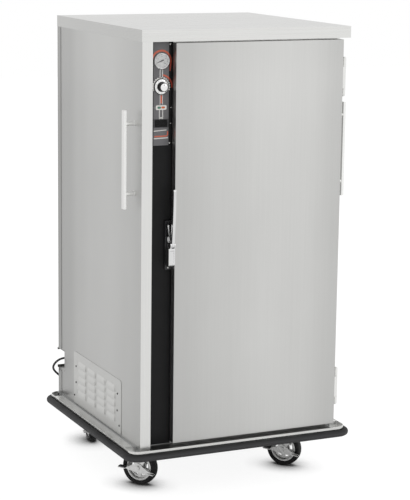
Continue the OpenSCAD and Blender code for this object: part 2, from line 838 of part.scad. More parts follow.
// Frame leaf along the side of the body, with the two outer knuckles and the pin
module hinge_frame_leaves() {
    side = body_w;
    color(bright) on_body() at_hinges() {
        for (k = [0, 2]) knuckle(knuckle_cuts[k], knuckle_cuts[k + 1]) {
            translate([hinge_x, hinge_y]) circle(barrel_r);
            polygon([[side, face_y + 4], [hinge_x - barrel_r + 0.4, hinge_y + 1],
                [hinge_x + barrel_r - 0.6, hinge_y + 1], [side + 3, face_y + 10]]);
        }
        linear_extrude(hinge_l) translate([side, face_y + 2]) square([3, 36]);
        translate([hinge_x, hinge_y, -1.5]) cylinder(r = hinge_pin_r, h = hinge_l + 3);
        for (z = [-3, hinge_l]) translate([hinge_x, hinge_y, z]) cylinder(r = 4.4, h = 3);
    }
}

// Door leaf on the door's edge, with the long middle knuckle
module hinge_door_leaves() {
    color(bright) on_body() at_hinges() {
        difference() {
            knuckle(knuckle_cuts[1], knuckle_cuts[2]) {
                translate([hinge_x, hinge_y]) circle(barrel_r);
                polygon([[door_x1, hinge_y - 9], [hinge_x, hinge_y - barrel_r + 0.3],
                    [hinge_x, hinge_y - 1], [door_x1 + 3, hinge_y + 6], [door_x1, hinge_y + 6]]);
            }
            translate([hinge_x, hinge_y, -1]) cylinder(r = hinge_pin_r + run_fit, h = hinge_l + 2);
        }
        linear_extrude(hinge_l) translate([door_x1, 4]) square([2.5, door_t - 8]);
    }
}

// ---------- latch ----------

// Keeper screwed on the recess panel, with an open pocket for the arm's roller
module latch_keeper() {
    color([0.25, 0.25, 0.26]) on_body() difference() {
        plate_y(27.6, face_y) translate([118, 756]) round_rect(25, 181, 4);
        plate_y(20, face_y - 3) translate([118, 814]) round_rect(21, 52, 4);
        plate_y(20, face_y - 3) translate([118, 716]) round_rect(14, 64, 4);
    }
}

module latch_body() {
    color(bright) on_body() difference() {
        union() {
            // lower housing with a soft front edge
            plate_x(latch_x, door_x) polygon([[-1, 684], [2, 682], [24, 682], [24, 750], [1, 750],
                [-3, 748], [-4, 744], [-4, 688]]);
            // plate on the door's edge and the web that carries the arm's pin
            block([128.6, 2, 682], [door_x, 26, 852]);
            block([latch_x + 5, 20, 750], [door_x, 24.5, 788]);
            // cheeks for the lever's pin
            for (x = [[112, 117.4], [128.6, 132]]) plate_x(x[0], x[1]) {
                translate(lever_pivot) circle(9);
                polygon([[-9, 760], [-4, 748], [24, 748], [24, 762], [8, 764]]);
            }
            rod_x(lever_pivot[0], lever_pivot[1], latch_pin_r, 113, 131);
            rod_y(arm_pivot[0], arm_pivot[1], latch_pin_r, 10.5, 22);
        }
        // dished front of the housing
        plate_x(latch_x + 4, door_x - 4) polygon([[-6, 694], [-2.4, 698], [-2.4, 738], [-6, 742]]);
    }
}

// Pull lever: wide at the pin and slim at the top, standing off the door's front
lever_front = [for (t = [0 : 0.125 : 1]) [-7 - 13 * sin(90 * t), 756 + 204 * t]];
lever_back = [for (t = [1 : -0.125 : 0]) [-9 + 16 * pow(1 - t, 1.4), 756 + 204 * t]];

module latch_lever() {
    color(bright) on_body() difference() {
        plate_x(lever_x[0], lever_x[1]) {
            translate(lever_pivot) circle(9);
            polygon(concat(lever_front, [[-18, 966], [-13, 966]], lever_back));
        }
        rod_x(lever_pivot[0], lever_pivot[1], latch_pin_r + run_fit, 110, 135);
    }
}

// Arm that leans over the keeper and carries the roller
module latch_arm() {
    color(bright) on_body() translate([arm_pivot[0], 0, arm_pivot[1]]) rotate([0, -arm_lean, 0]) {
        difference() {
            plate_y(11, 18.6) {
                circle(6.5);
                translate([-4, 0]) square([8, arm_l]);
                translate([0, arm_l]) circle(5);
            }
            rod_y(0, 0, latch_pin_r + run_fit, 8, 22);
        }
        rod_y(0, arm_l, 3.6, 18, 33);
    }
}

// ---------- push handles ----------

module push_handles() {
    z = [893, 1251];
    y = [58, 79.5];
    out = 35;
    post_r = 8.4;
    color(bright) on_body() for (side = [0, 1])
        translate([side * body_w, 0, 0]) mirror([side, 0, 0]) {
            block([-out - 10, y[0], z[0]], [-out, y[1], z[1]]);
            for (zz = [z[0] + 55, z[1] - 49]) {
                rod_x((y[0] + y[1]) / 2, zz, post_r, -out - 1, 0);
                rod_x((y[0] + y[1]) / 2, zz, post_r + 1.1, -2, 0);
            }
        }
}

// ---------- cord ----------

// Formed box that lines the notch; its top and bottom stand out behind as ears
module cord_pocket() {
    x1 = notch_x;
    ear = 12;
    z0 = notch_z[0];
    z1 = notch_z[1];
    color(steel) on_body() {
        block([skin, notch_y, z0], [x1, notch_y + skin, z1]);
        block([x1 - skin, notch_y, z0], [x1, body_d, z1]);
        for (z = [z0, z1 - skin]) block([-skin, notch_y, z], [x1, body_d + ear, z + skin]);
        block([-skin, body_d + ear - skin, z1 - 10], [x1, body_d + ear, z1]);
        block([-skin, body_d + ear - skin, z0], [x1, body_d + ear, z0 + 10]);
    }
}

module cord_gland() {
    color([0.08, 0.08, 0.08]) on_body() translate([notch_x - skin, 828, 150]) rotate([0, -90, 0])
        rotate_extrude() polygon([[0, 0], [11, 0], [11, 4], [8, 5], [6, 26.5], [0, 26.5]]);
}

module cord_run() {
    color([0.05, 0.05, 0.05]) on_body() tube(cord_points, cord_r, 8, [0, 0, 1]);
}

module cord_coil() {
    color([0.05, 0.05, 0.05]) on_body() tube(coil_points, cord_r, 6, [0, 0, 1]);
}

// Straight three-pin plug at the free end of the coil
module plug() {
    start = coil_points[len(coil_points) - 1];
    color([0.06, 0.06, 0.06]) on_body() translate([start.x, start.y, floor_z + plug_r]) rotate([0, -90, 0]) {
        rotate_extrude() polygon([[0, 0], [5.5, 0], [7, 12], [11, 18], [13, 24], [plug_r, 30],
            [plug_r, 46], [14, 50], [0, 50]]);
        for (y = [-6.5, 6.5]) translate([-1 - 3, y - 0.8, 50]) cube([6.4, 1.6, 16]);
        translate([7.5, 0, 50]) cylinder(r = 2.4, h = 18);
    }
}

// ---------- casters ----------

module at_caster(i) {
    translate([caster_at[i].x, caster_at[i].y, 0]) children();
}

module trailing(i) {
    at_caster(i) rotate(caster_turn[i]) children();
}

// Top plate with its bolt holes, fixed race and kingpin
module caster_plates() {
    size = 102;
    bolt = 38;
    color([0.7, 0.71, 0.72]) for (i = [0 : 3]) at_caster(i) {
        difference() {
            translate([0, 0, caster_h - 4]) linear_extrude(4) round_rect(size, size, 8);
            for (x = [-bolt, bolt], y = [-bolt, bolt]) translate([x, y, caster_h - 6]) cylinder(r = 5, h = 8);
        }
        rotate_extrude() polygon([[0, 133.6], [12, 133.6], [13, 134.6], [13, 138], [kingpin_r, 138.6],
            [kingpin_r, 156], [30, 156], [37, 158], [37, 160.5], [33, caster_h - 3.9], [0, caster_h - 3.9]]);
    }
}

// Swivel fork: dished race, crown, two tapering legs and the axle with its nuts
module fork(i) {
    top = crown_z + 4;
    color([0.82, 0.82, 0.83]) trailing(i) {
        difference() {
            union() {
                translate([0, 0, crown_z]) linear_extrude(4) translate([13, 0]) round_rect(78, 47, 5);
                rotate_extrude() polygon([[0, top - 1], [27, top - 1], [36, 149], [36, 154], [34, 155.7], [0, 155.7]]);
            }
            translate([0, 0, crown_z - 1]) cylinder(r = kingpin_r + run_fit, h = 20);
        }
        for (s = [-1, 1]) plate_y(s > 0 ? fork_inner : -fork_inner - fork_t, s > 0 ? fork_inner + fork_t : -fork_inner) {
            translate([trail, wheel_r]) circle(16);
            polygon([[-25, top - 1], [51, top - 1], [54, 106], [54, wheel_r], [22.2, wheel_r + 2], [6, 100], [-18, 128]]);
        }
        rod_y(trail, wheel_r, axle_r, -fork_inner - 9, brake_y + 10);
        for (s = [-1, 1]) rod_y(trail, wheel_r, 10, s > 0 ? 18.2 : -fork_inner - eps, s > 0 ? fork_inner + eps : -18.2);
        rod_y(trail, wheel_r, 10, -fork_inner - 10, -fork_inner - fork_t + eps, $fn = 6);
        translate([0, brake_y + brake_t + 0.8, 0]) rod_y(trail, wheel_r, 10, 0, 6.5);
    }
}

rim = 14; // half the width of the wheel's rim

// Pressed wheel centre with kidney windows
module hub(i) {
    color([0.75, 0.75, 0.76]) trailing(i) translate([trail, 0, wheel_r]) rotate([90, 0, 0]) difference() {
        rotate_extrude($fn = 72) polygon([[axle_r + run_fit, -18], [13, -18], [15, -11], [18, -4], [41, -4],
            [45, -rim], [hub_r, -rim], [hub_r, rim], [45, rim], [41, 4], [18, 4], [15, 11],
            [13, 18], [axle_r + run_fit, 18]]);
        for (k = [0 : 4]) rotate(72 * k) rotate_extrude(angle = 44) translate([25, -6]) square([11, 12]);
    }
}

module tyre(i) {
    h = wheel_w / 2;
    color(tread_black) trailing(i) translate([trail, 0, wheel_r]) rotate([90, 0, 0])
        rotate_extrude($fn = 72) polygon([[hub_r, -rim], [hub_r + 2, -h + 0.6], [wheel_r - 6, -h],
            [wheel_r - 2.6, -h + 1.6], [wheel_r - 0.8, -h + 5], [wheel_r, -5], [wheel_r, 5],
            [wheel_r - 0.8, h - 5], [wheel_r - 2.6, h - 1.6], [wheel_r - 6, h], [hub_r + 2, h - 0.6],
            [hub_r, rim]]);
}

// Brake pedal: a pressed plate on the axle's near end with a foot tread on each wing
module brake(i) {
    y0 = brake_y;
    color([0.85, 0.85, 0.86]) trailing(i) translate([trail, 0, wheel_r]) rotate([0, -brake_tilt, 0]) {
        difference() {
            plate_y(y0, y0 + brake_t) {
                circle(19);
                polygon([[-8, -18], [-34, -17], [-70, -13], [-75, -9.6], [-75, -6], [-46, -3], [-24, 8],
                    [-10, 17], [16, 12], [36, 0], [73, -4.6], [73, -7.6], [44, -12], [16, -16]]);
            }
            rod_y(0, 0, axle_r + run_fit, y0 - 2, y0 + brake_t + 2);
        }
        block([44, y0, -7.6], [74, y0 + 20, -4.6]);
        block([-76, y0, -9], [-50, y0 + 20, -6]);
    }
}

// ---------- the part ----------

base_frame();
ledge_channels();
bumper_bar();
bumper();
left_panel();
right_panel();
back_panel();
top_cap();
front_frame();
recess_panel();
chamber_liner();
insulation();
pilasters();
shelves();
thermometer_case();
thermometer_lens();
thermometer_needle();
thermostat();
thermostat_knob();
lamp_plate();
indicator_lamps();
switch_frame();
switch_rocker();
vent_panel();
push_handles();
hinge_frame_leaves();
hinge_door_leaves();
latch_keeper();
cord_pocket();
cord_gland();
cord_run();
cord_coil();
plug();
blower_housing();
blower_wheel();
heater_element();
door_skin();
door_liner();
door_core();
door_gasket();
latch_body();
latch_lever();
latch_arm();
caster_plates();
fork(0);  // fork_fl
fork(1);  // fork_fr
fork(2);  // fork_rl
fork(3);  // fork_rr
hub(0);  // hub_fl
hub(1);  // hub_fr
hub(2);  // hub_rl
hub(3);  // hub_rr
tyre(0);  // tyre_fl
tyre(1);  // tyre_fr
tyre(2);  // tyre_rl
tyre(3);  // tyre_rr
brake(0);  // brake_fl
brake(1);  // brake_fr
brake(2);  // brake_rl
brake(3);  // brake_rr
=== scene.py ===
"""Plate warmer cabinet: its finishes, its small pieces, its mains cord and a plain studio.

Lengths inside the operators are millimetres on the body's own axes: x from the body's left
side, y back from the face of the door, z up from the base ledge. place() turns them into
metres in the shared frame.
"""

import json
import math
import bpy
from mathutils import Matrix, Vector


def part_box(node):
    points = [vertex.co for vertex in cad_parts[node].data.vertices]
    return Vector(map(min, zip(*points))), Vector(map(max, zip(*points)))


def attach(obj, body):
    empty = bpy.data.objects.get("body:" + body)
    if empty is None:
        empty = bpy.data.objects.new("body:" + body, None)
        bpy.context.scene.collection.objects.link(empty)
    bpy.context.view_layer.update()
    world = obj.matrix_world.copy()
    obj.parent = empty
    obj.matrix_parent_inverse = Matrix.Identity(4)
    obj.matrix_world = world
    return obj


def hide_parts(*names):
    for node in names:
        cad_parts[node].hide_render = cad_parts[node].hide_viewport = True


bl_info = {
    "name": "Plate Warmer Cabinet",
    "version": (1, 0, 0),
    "blender": (4, 5, 0),
    "location": "3D View > Sidebar > Plate warmer",
    "description": "Finishes, controls, casters, mains cord and studio of a plate warmer cabinet",
    "category": "Object",
}

import bmesh
import bpy
import numpy as np
from bpy.props import FloatProperty, FloatVectorProperty, IntProperty, PointerProperty, StringProperty
from mathutils import Matrix, Vector

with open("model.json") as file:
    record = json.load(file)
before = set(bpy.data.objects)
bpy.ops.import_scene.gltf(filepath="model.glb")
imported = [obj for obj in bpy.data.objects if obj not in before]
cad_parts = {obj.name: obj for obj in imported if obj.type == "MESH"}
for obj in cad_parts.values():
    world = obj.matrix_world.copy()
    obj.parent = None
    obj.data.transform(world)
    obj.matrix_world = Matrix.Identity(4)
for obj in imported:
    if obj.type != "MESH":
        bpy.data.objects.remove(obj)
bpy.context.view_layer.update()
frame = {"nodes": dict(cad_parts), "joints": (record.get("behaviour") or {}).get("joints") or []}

MM = 0.001
CORNERS = ("fl", "fr", "rl", "rr")
ORIGIN = np.array(
    [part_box("left_panel")[0].x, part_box("door_skin")[0].y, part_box("ledge_channels")[1].z]
)
FLOOR_Z = -ORIGIN[2] / MM  # the floor, on the body's axes


# ---------------------------------------------------------------- places and shapes


def place(points):
    """Body millimetres to metres in the frame: the point times a thousandth, plus the body's corner."""
    return np.asarray(points, float) * MM + ORIGIN


def body_box(node):
    """A node's lowest and highest corners in body millimetres."""
    low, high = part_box(node)
    return (np.array(low) - ORIGIN) / MM, (np.array(high) - ORIGIN) / MM


# What a small piece's own axes (across, up, outwards) are on each side of the body
FACING = {
    "front": np.array([[1, 0, 0], [0, 0, 1], [0, -1, 0]], float),
    "left": np.array([[0, -1, 0], [0, 0, 1], [-1, 0, 0]], float),
    "right": np.array([[0, 1, 0], [0, 0, 1], [1, 0, 0]], float),
    "under": np.array([[1, 0, 0], [0, -1, 0], [0, 0, -1]], float),
}


def stand(points, spot, side):
    """Sets a small piece on a side of the body: spot + across, up and outwards along its axes."""
    return np.asarray(spot, float) + np.asarray(points, float) @ FACING[side]


def revolve(profile, steps=48):
    """A surface of revolution: (r cos t, r sin t, h) for each radius and height of the profile."""
    r, h = np.asarray(profile, float).T
    t = np.linspace(0, 2 * np.pi, steps, endpoint=False)
    return np.stack(
        [np.outer(r, np.cos(t)), np.outer(r, np.sin(t)), np.outer(h, np.ones(steps))], -1
    )


def rounded_rings(rows, corner_steps=6):
    """Rounded rectangles stacked into a surface. Each row is (half width, half height, corner
    radius, outwards): a corner's centre plus radius times (cos t, sin t), for t over each quarter."""
    half_w, half_h, radius, out = (v[:, None] for v in np.asarray(rows, float).T)
    quarter = np.linspace(0, np.pi / 2, corner_steps)
    t = np.concatenate([quarter + k * np.pi / 2 for k in range(4)])
    sign_x = np.repeat([1, -1, -1, 1], corner_steps)
    sign_y = np.repeat([1, 1, -1, -1], corner_steps)
    x = sign_x * (half_w - radius) + radius * np.cos(t)
    y = sign_y * (half_h - radius) + radius * np.sin(t)
    return np.stack([x, y, out + 0 * x], -1)


def slab_rows(width, height, radius, low, high, edge=0.3):
    """Rows for a rounded slab with a small rounded front edge."""
    w, h = width / 2, height / 2
    return [
        (w, h, radius, low),
        (w, h, radius, high - edge),
        (w - edge * 0.3, h - edge * 0.3, radius - edge * 0.3, high - edge * 0.3),
        (w - edge, h - edge, max(radius - edge, 0.05), high),
    ]


def strip(line, width, low, high):
    """A flat strip of that width along a line of points in the plane: each point is moved half
    the width to both sides along the line's normal, at a low and a high level."""
    line = np.asarray(line, float)
    along = np.gradient(line, axis=0)
    along /= np.linalg.norm(along, axis=1)[:, None]
    normal = np.stack([-along[:, 1], along[:, 0]], -1)
    half = np.broadcast_to(np.asarray(width, float) / 2, len(line))[:, None]
    left, right = line + normal * half, line - normal * half
    level = np.ones((len(line), 1))
    return np.stack(
        [
            np.hstack([left, level * low]),
            np.hstack([right, level * low]),
            np.hstack([right, level * high]),
            np.hstack([left, level * high]),
        ],
        1,
    )


def arc_line(centre, radius, start, end, steps=32):
    """Points on a circle from one angle to another, in degrees."""
    t = np.radians(np.linspace(start, end, steps))
    return np.stack([centre[0] + radius * np.cos(t), centre[1] + radius * np.sin(t)], -1)


def rod(start, end, radius, sides=12, edge=0.6):
    """A straight rod with softly rounded ends: circles across the way from start to end."""
    start, end = np.asarray(start, float), np.asarray(end, float)
    length = np.linalg.norm(end - start)
    along = (end - start) / length
    side = np.cross(along, [0.0, 0.0, 1.0] if abs(along[2]) < 0.9 else [1.0, 0.0, 0.0])
    side /= np.linalg.norm(side)
    up = np.cross(along, side)
    profile = [(radius - edge, 0), (radius, edge), (radius, length - edge), (radius - edge, length)]
    return start + revolve(profile, sides) @ np.array([side, up, along])


def screw_head(radius, height, recess=0.45, steps=40, rings=10):
    """A pan head with a cross recess. The height over the plane is a dome, h (1 - (r/R)^3), less
    the recess where the point is near either arm of the cross and inside the recess circle."""
    r = radius * np.linspace(0.03, 1, rings)
    t = np.linspace(0, 2 * np.pi, steps, endpoint=False)
    rr, tt = np.meshgrid(r, t, indexing="ij")
    x, y = rr * np.cos(tt), rr * np.sin(tt)
    dome = height * (1 - (rr / radius) ** 3)
    arm = np.minimum(abs(x), abs(y)) / (0.16 * radius)
    cut = np.clip(1.3 - arm, 0, 1) * np.clip((0.62 * radius - rr) / (0.12 * radius), 0, 1)
    top = np.stack([x, y, dome - recess * height * cut + 0.15], -1)
    foot = top[-1:].copy()
    foot[..., 2] = 0
    return np.concatenate([foot, top[::-1]])


def hex_head(radius, height):
    """A hexagon bolt head with a chamfered top and a round washer face under it."""
    t = np.linspace(0, 2 * np.pi, 48, endpoint=False)
    reach = radius * np.cos(np.pi / 6) / np.cos((t + np.pi / 6) % (np.pi / 3) - np.pi / 6)
    chamfer, middle = np.minimum(reach, radius * 0.92), 0 * t + radius * 0.1
    rows = [(reach, 0), (reach, height * 0.8), (chamfer, height), (middle, height)]
    return np.stack([np.stack([r * np.cos(t), r * np.sin(t), 0 * t + h], -1) for r, h in rows])


# ---------------------------------------------------------------- pieces


def shade(mesh, angle):
    """Smooth shading, with edges sharper than an angle in degrees kept."""
    mesh.polygons.foreach_set("use_smooth", np.ones(len(mesh.polygons), bool))
    mesh.set_sharp_from_angle(angle=math.radians(angle))


def hang(mesh, material, body):
    """Puts a finished mesh into the scene as a piece of a body, with its material slot."""
    mesh.materials.append(material)
    piece = bpy.data.objects.new(mesh.name, mesh)
    bpy.context.scene.collection.objects.link(piece)
    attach(piece, body)
    return piece


def shell(name, grids, material, body, smooth=35, ring=False):
    """One mesh from several grids of body millimetres, rows x columns x 3, whose columns close on
    themselves. The rows of a ring close too, and a grid that isn't one gets a flat face at each
    end. Faces point outwards."""
    verts, faces, start = [], [], 0
    for grid in grids:
        rows, cols = grid.shape[:2]
        index = start + np.arange(rows * cols).reshape(rows, cols)
        above = np.roll(index, -1, axis=0)
        quads = np.stack([index, np.roll(index, -1, axis=1), np.roll(above, -1, axis=1), above], -1)
        if not ring:
            quads = quads[:-1]
        faces += quads.reshape(-1, 4).tolist()
        if not ring:
            faces += [index[0, ::-1].tolist(), index[-1].tolist()]
        verts.append(place(grid.reshape(-1, 3)))
        start += rows * cols
    mesh = bpy.data.meshes.new(name)
    mesh.from_pydata(np.concatenate(verts).tolist(), [], faces)
    turned = bmesh.new()
    turned.from_mesh(mesh)
    bmesh.ops.recalc_face_normals(turned, faces=turned.faces)
    turned.to_mesh(mesh)
    turned.free()
    shade(mesh, smooth)
    return hang(mesh, material, body)


def figures(name, texts, material, body, depth=0.12):
    """Printed figures: each text's outline, made a mesh before it is put in its place. A text
    comes with its size and its spot on the front."""
    parts = []
    for text, size, spot in texts:
        curve = bpy.data.curves.new(name, "FONT")
        curve.body, curve.size, curve.extrude = text, size * MM, depth * MM / 2
        curve.align_x, curve.align_y = "CENTER", "CENTER"
        curve.resolution_u = 2
        typed = bpy.data.objects.new(name, curve)
        bpy.context.scene.collection.objects.link(typed)
        bpy.context.view_layer.update()
        made = bpy.data.meshes.new_from_object(typed)
        bpy.data.objects.remove(typed)
        local = np.array([v.co for v in made.vertices]) / MM
        made.vertices.foreach_set("co", place(stand(local, spot, "front")).ravel())
        made.update()
        parts.append(made)
    joined = bmesh.new()
    for made in parts:
        joined.from_mesh(made)
        bpy.data.meshes.remove(made)
    mesh = bpy.data.meshes.new(name)
    bmesh.ops.recalc_face_normals(joined, faces=joined.faces)
    joined.to_mesh(mesh)
    joined.free()
    return hang(mesh, material, body)


def dress(nodes, material):
    """Gives CAD nodes a finish."""
    for name in nodes:
        part = frame["nodes"][name]
        part.data.materials.clear()
        part.data.materials.append(material)


# ---------------------------------------------------------------- materials


def hex_rgba(code):
    """An sRGB hex colour as linear red, green, blue and alpha."""
    value = np.array([int(code[i : i + 2], 16) for i in (1, 3, 5)]) / 255
    linear = np.where(value <= 0.04045, value / 12.92, ((value + 0.055) / 1.055) ** 2.4)
    return (*linear.tolist(), 1.0)


def add(tree, kind, values=(), **settings):
    """Adds a node, with its settings, and its sockets' values or the sockets that feed them."""
    made = tree.nodes.new(kind)
    for key, value in settings.items():
        setattr(made, key, value)
    for socket, value in dict(values).items():
        if isinstance(value, bpy.types.NodeSocket):
            tree.links.new(value, made.inputs[socket])
        else:
            made.inputs[socket].default_value = value
    return made


def start_material(name):
    """A new material with its emptied tree and its object coordinates, or only the material if
    it is made already."""
    material = bpy.data.materials.get(name)
    if material:
        return material, None, None
    material = bpy.data.materials.new(name)
    material.use_nodes = True
    tree = material.node_tree
    tree.nodes.clear()
    return material, tree, add(tree, "ShaderNodeTexCoord").outputs["Object"]


def end_material(tree, shader):
    """Links a shader to the material's output."""
    add(tree, "ShaderNodeOutputMaterial", {"Surface": shader.outputs[0]})


def pattern(tree, coords, size_mm, detail=2.0, roughness=0.5):
    """Noise with a grain of those sizes in millimetres along x, y and z."""
    scale = [1 / (s * MM) for s in size_mm]
    mapped = add(tree, "ShaderNodeMapping", {"Vector": coords, "Scale": scale})
    return add(
        tree,
        "ShaderNodeTexNoise",
        {"Vector": mapped.outputs[0], "Scale": 1.0, "Detail": detail, "Roughness": roughness},
    ).outputs[0]


def spread(tree, value, low, high, out_low, out_high):
    """Maps a value from one range to another, held at the ends."""
    return add(
        tree,
        "ShaderNodeMapRange",
        {"Value": value, "From Min": low, "From Max": high, "To Min": out_low, "To Max": out_high},
    ).outputs[0]


def tint(tree, base, factor):
    """A colour multiplied by a grey factor."""
    return add(
        tree,
        "ShaderNodeVectorMath",
        {0: hex_rgba(base)[:3], 1: factor},
        operation="MULTIPLY",
    ).outputs[0]


def bump(tree, height, strength, depth_mm):
    """A relief whose full height is that depth in millimetres."""
    return add(
        tree,
        "ShaderNodeBump",
        {"Height": height, "Strength": strength, "Distance": depth_mm * MM},
    ).outputs[0]


def times(tree, *factors):
    """The product of several grey factors."""
    total = factors[0]
    for factor in factors[1:]:
        total = add(tree, "ShaderNodeMath", {0: total, 1: factor}, operation="MULTIPLY").outputs[0]
    return total


def drift(tree, coords, axis, stops):
    """Painted light and shade across a surface, as greys at places on the body in millimetres:
    a smooth ramp from the first place to the last."""
    places, greys = zip(*stops)
    row = "XYZ".index(axis)
    ends = [place([p, p, p])[row] for p in (places[0], places[-1])]
    along = add(tree, "ShaderNodeSeparateXYZ", {"Vector": coords}).outputs[axis]
    ramp = add(tree, "ShaderNodeValToRGB", {"Fac": spread(tree, along, *ends, 0, 1)})
    ramp.color_ramp.interpolation = "EASE"
    marks = ramp.color_ramp.elements
    for spot in places[1:-1]:
        marks.new((spot - places[0]) / (places[-1] - places[0]))
    for mark, grey in zip(marks, greys):
        mark.color = (grey, grey, grey, 1)
    return ramp.outputs[0]


def facing(tree, axis):
    """1 on the faces that look along an axis or against it, 0 on the others: the mask for shade painted
    by facing.
    """
    normal = add(tree, "ShaderNodeNewGeometry").outputs["True Normal"]
    part = add(tree, "ShaderNodeSeparateXYZ", {"Vector": normal}).outputs[axis]
    size = add(tree, "ShaderNodeMath", {0: part}, operation="ABSOLUTE").outputs[0]
    return spread(tree, size, 0.6, 0.8, 0, 1)


def brushed_stainless(name, base, roughness, along, contrast, painted_shade_tones=(), faces=()):
    """Stainless sheet brushed with a number 4 belt: long fine lines one way, and broad soft
    patches from the rolling. The lines are about 0.3 mm wide on the real sheet, and are drawn
    3 mm wide so that they show. painted_shade_tones holds ramps of painted light and shade, and
    faces how much darker a face that looks along an axis is painted, as painted shade."""
    material, tree, coords = start_material(name)
    if tree is None:
        return material
    grain = {"x": (400, 3, 3), "y": (3, 400, 3), "z": (3, 3, 400)}[along]
    lines = pattern(tree, coords, grain, 3.0, 0.6)
    patches = pattern(tree, coords, (240, 240, 360), 2.0, 0.5)
    factor = times(
        tree,
        spread(tree, lines, 0.25, 0.75, 1 - contrast, 1 + contrast),
        spread(tree, patches, 0.3, 0.7, 1 - contrast * 0.7, 1 + contrast * 0.5),
        # painted light and shade: the ramps, and the darker faces that look along an axis
        *(drift(tree, coords, axis, stops) for axis, stops in painted_shade_tones),
        *(spread(tree, facing(tree, axis), 0, 1, 1, grey) for axis, grey in faces),
    )
    shader = add(
        tree,
        "ShaderNodeBsdfPrincipled",
        {
            "Base Color": tint(tree, base, factor),
            "Metallic": 1.0,
            "Roughness": spread(tree, lines, 0.3, 0.7, roughness - 0.04, roughness + 0.05),
            "Normal": bump(tree, lines, 0.12, 0.05),
        },
    )
    end_material(tree, shader)
    return material


def polished_stainless(name="polished stainless", base="#DADAD8", roughness=0.16):
    """Drawn and buffed bar: nearly a mirror, with faint scratches along it."""
    material, tree, coords = start_material(name)
    if tree is None:
        return material
    scratches = pattern(tree, coords, (2, 2, 60), 3.0, 0.6)
    shader = add(
        tree,
        "ShaderNodeBsdfPrincipled",
        {
            "Base Color": tint(tree, base, spread(tree, scratches, 0.3, 0.7, 0.96, 1.03)),
            "Metallic": 1.0,
            "Roughness": spread(tree, scratches, 0.3, 0.7, roughness - 0.03, roughness + 0.06),
        },
    )
    end_material(tree, shader)
    return material


def bright_zinc(name="bright zinc plate", base="#DFDFDE", roughness=0.3):
    """Pressed steel with a thin zinc plate: soft shine, with cloudy passivation marks."""
    material, tree, coords = start_material(name)
    if tree is None:
        return material
    clouds = pattern(tree, coords, (14, 14, 14), 3.0, 0.55)
    shader = add(
        tree,
        "ShaderNodeBsdfPrincipled",
        {
            "Base Color": tint(tree, base, spread(tree, clouds, 0.3, 0.7, 0.9, 1.05)),
            "Metallic": 1.0,
            "Roughness": spread(tree, clouds, 0.3, 0.7, roughness - 0.06, roughness + 0.1),
            "Normal": bump(tree, clouds, 0.1, 0.2),
        },
    )
    end_material(tree, shader)
    return material


def galvanised_sheet(name="galvanised sheet", base="#ABACAC"):
    """Hot-dipped steel: flat grey crystals, some 12 mm across, each with its own shine."""
    material, tree, coords = start_material(name)
    if tree is None:
        return material
    crystal = add(
        tree,
        "ShaderNodeTexVoronoi",
        {"Vector": coords, "Scale": 1 / (12 * MM)},
        feature="F1",
    ).outputs["Color"]
    grey = add(tree, "ShaderNodeSeparateColor", {"Color": crystal}).outputs[0]
    shader = add(
        tree,
        "ShaderNodeBsdfPrincipled",
        {
            "Base Color": tint(tree, base, spread(tree, grey, 0, 1, 0.88, 1.08)),
            "Metallic": 1.0,
            "Roughness": spread(tree, grey, 0, 1, 0.34, 0.5),
        },
    )
    end_material(tree, shader)
    return material


def speckled(name, base, roughness, size_mm, contrast=0.1, relief=0.2, depth_mm=0.1, **values):
    """A moulded, painted or rubber surface: one colour with fine speckle, and a light relief."""
    material, tree, coords = start_material(name)
    if tree is None:
        return material
    grit = pattern(tree, coords, (size_mm,) * 3, 3.0, 0.6)
    patches = pattern(tree, coords, (size_mm * 40,) * 3, 2.0, 0.5)
    factor = times(
        tree,
        spread(tree, grit, 0.3, 0.7, 1 - contrast, 1 + contrast),
        spread(tree, patches, 0.3, 0.7, 1 - contrast, 1 + contrast),
    )
    shader = add(
        tree,
        "ShaderNodeBsdfPrincipled",
        {
            "Base Color": tint(tree, base, factor),
            "Roughness": spread(tree, grit, 0.3, 0.7, roughness - 0.05, roughness + 0.07),
            "Normal": bump(tree, grit, relief, depth_mm),
            **values,
        },
    )
    end_material(tree, shader)
    return material


def extruded_rubber(name="extruded EPDM rubber", base="#3A3A3B"):
    """Die lines along the bumper, a grey bloom low on its sides where doorways rub it, and painted
    shade: nearly black along the top, as in a groove, and darker along the bottom edge."""
    material, tree, coords = start_material(name)
    if tree is None:
        return material
    lines = pattern(tree, coords, (500, 500, 1.5), 2.0, 0.5)
    bloom = pattern(tree, coords, (90, 90, 40), 3.0, 0.6)
    factor = times(
        tree,
        spread(tree, lines, 0.3, 0.7, 0.92, 1.08),
        spread(tree, bloom, 0.3, 0.75, 0.9, 1.15),
        # painted shade: nearly black along the top, standing in for the shade in the groove there, and
        # darker along the bottom edge
        drift(tree, coords, "Z", [(-37, 0.5), (-31, 0.9), (-22, 1.0), (-15, 0.55), (-10, 0.15)]),
    )
    shader = add(
        tree,
        "ShaderNodeBsdfPrincipled",
        {
            "Base Color": tint(tree, base, factor),
            "Roughness": spread(tree, bloom, 0.3, 0.7, 0.5, 0.68),
            "Specular IOR Level": 0.25,
            "Normal": bump(tree, lines, 0.15, 0.15),
        },
    )
    end_material(tree, shader)
    return material


def printed_film(name="screen-printed polyester film", base="#6F6E70"):
    """The control label: matt grey ink under a finely textured film."""
    return speckled(name, base, 0.42, 0.8, 0.04, 0.08, 0.03)


def print_ink(name, base):
    """Opaque screen ink, flat and slightly uneven."""
    return speckled(name, base, 0.45, 1.2, 0.03, 0.05, 0.02)


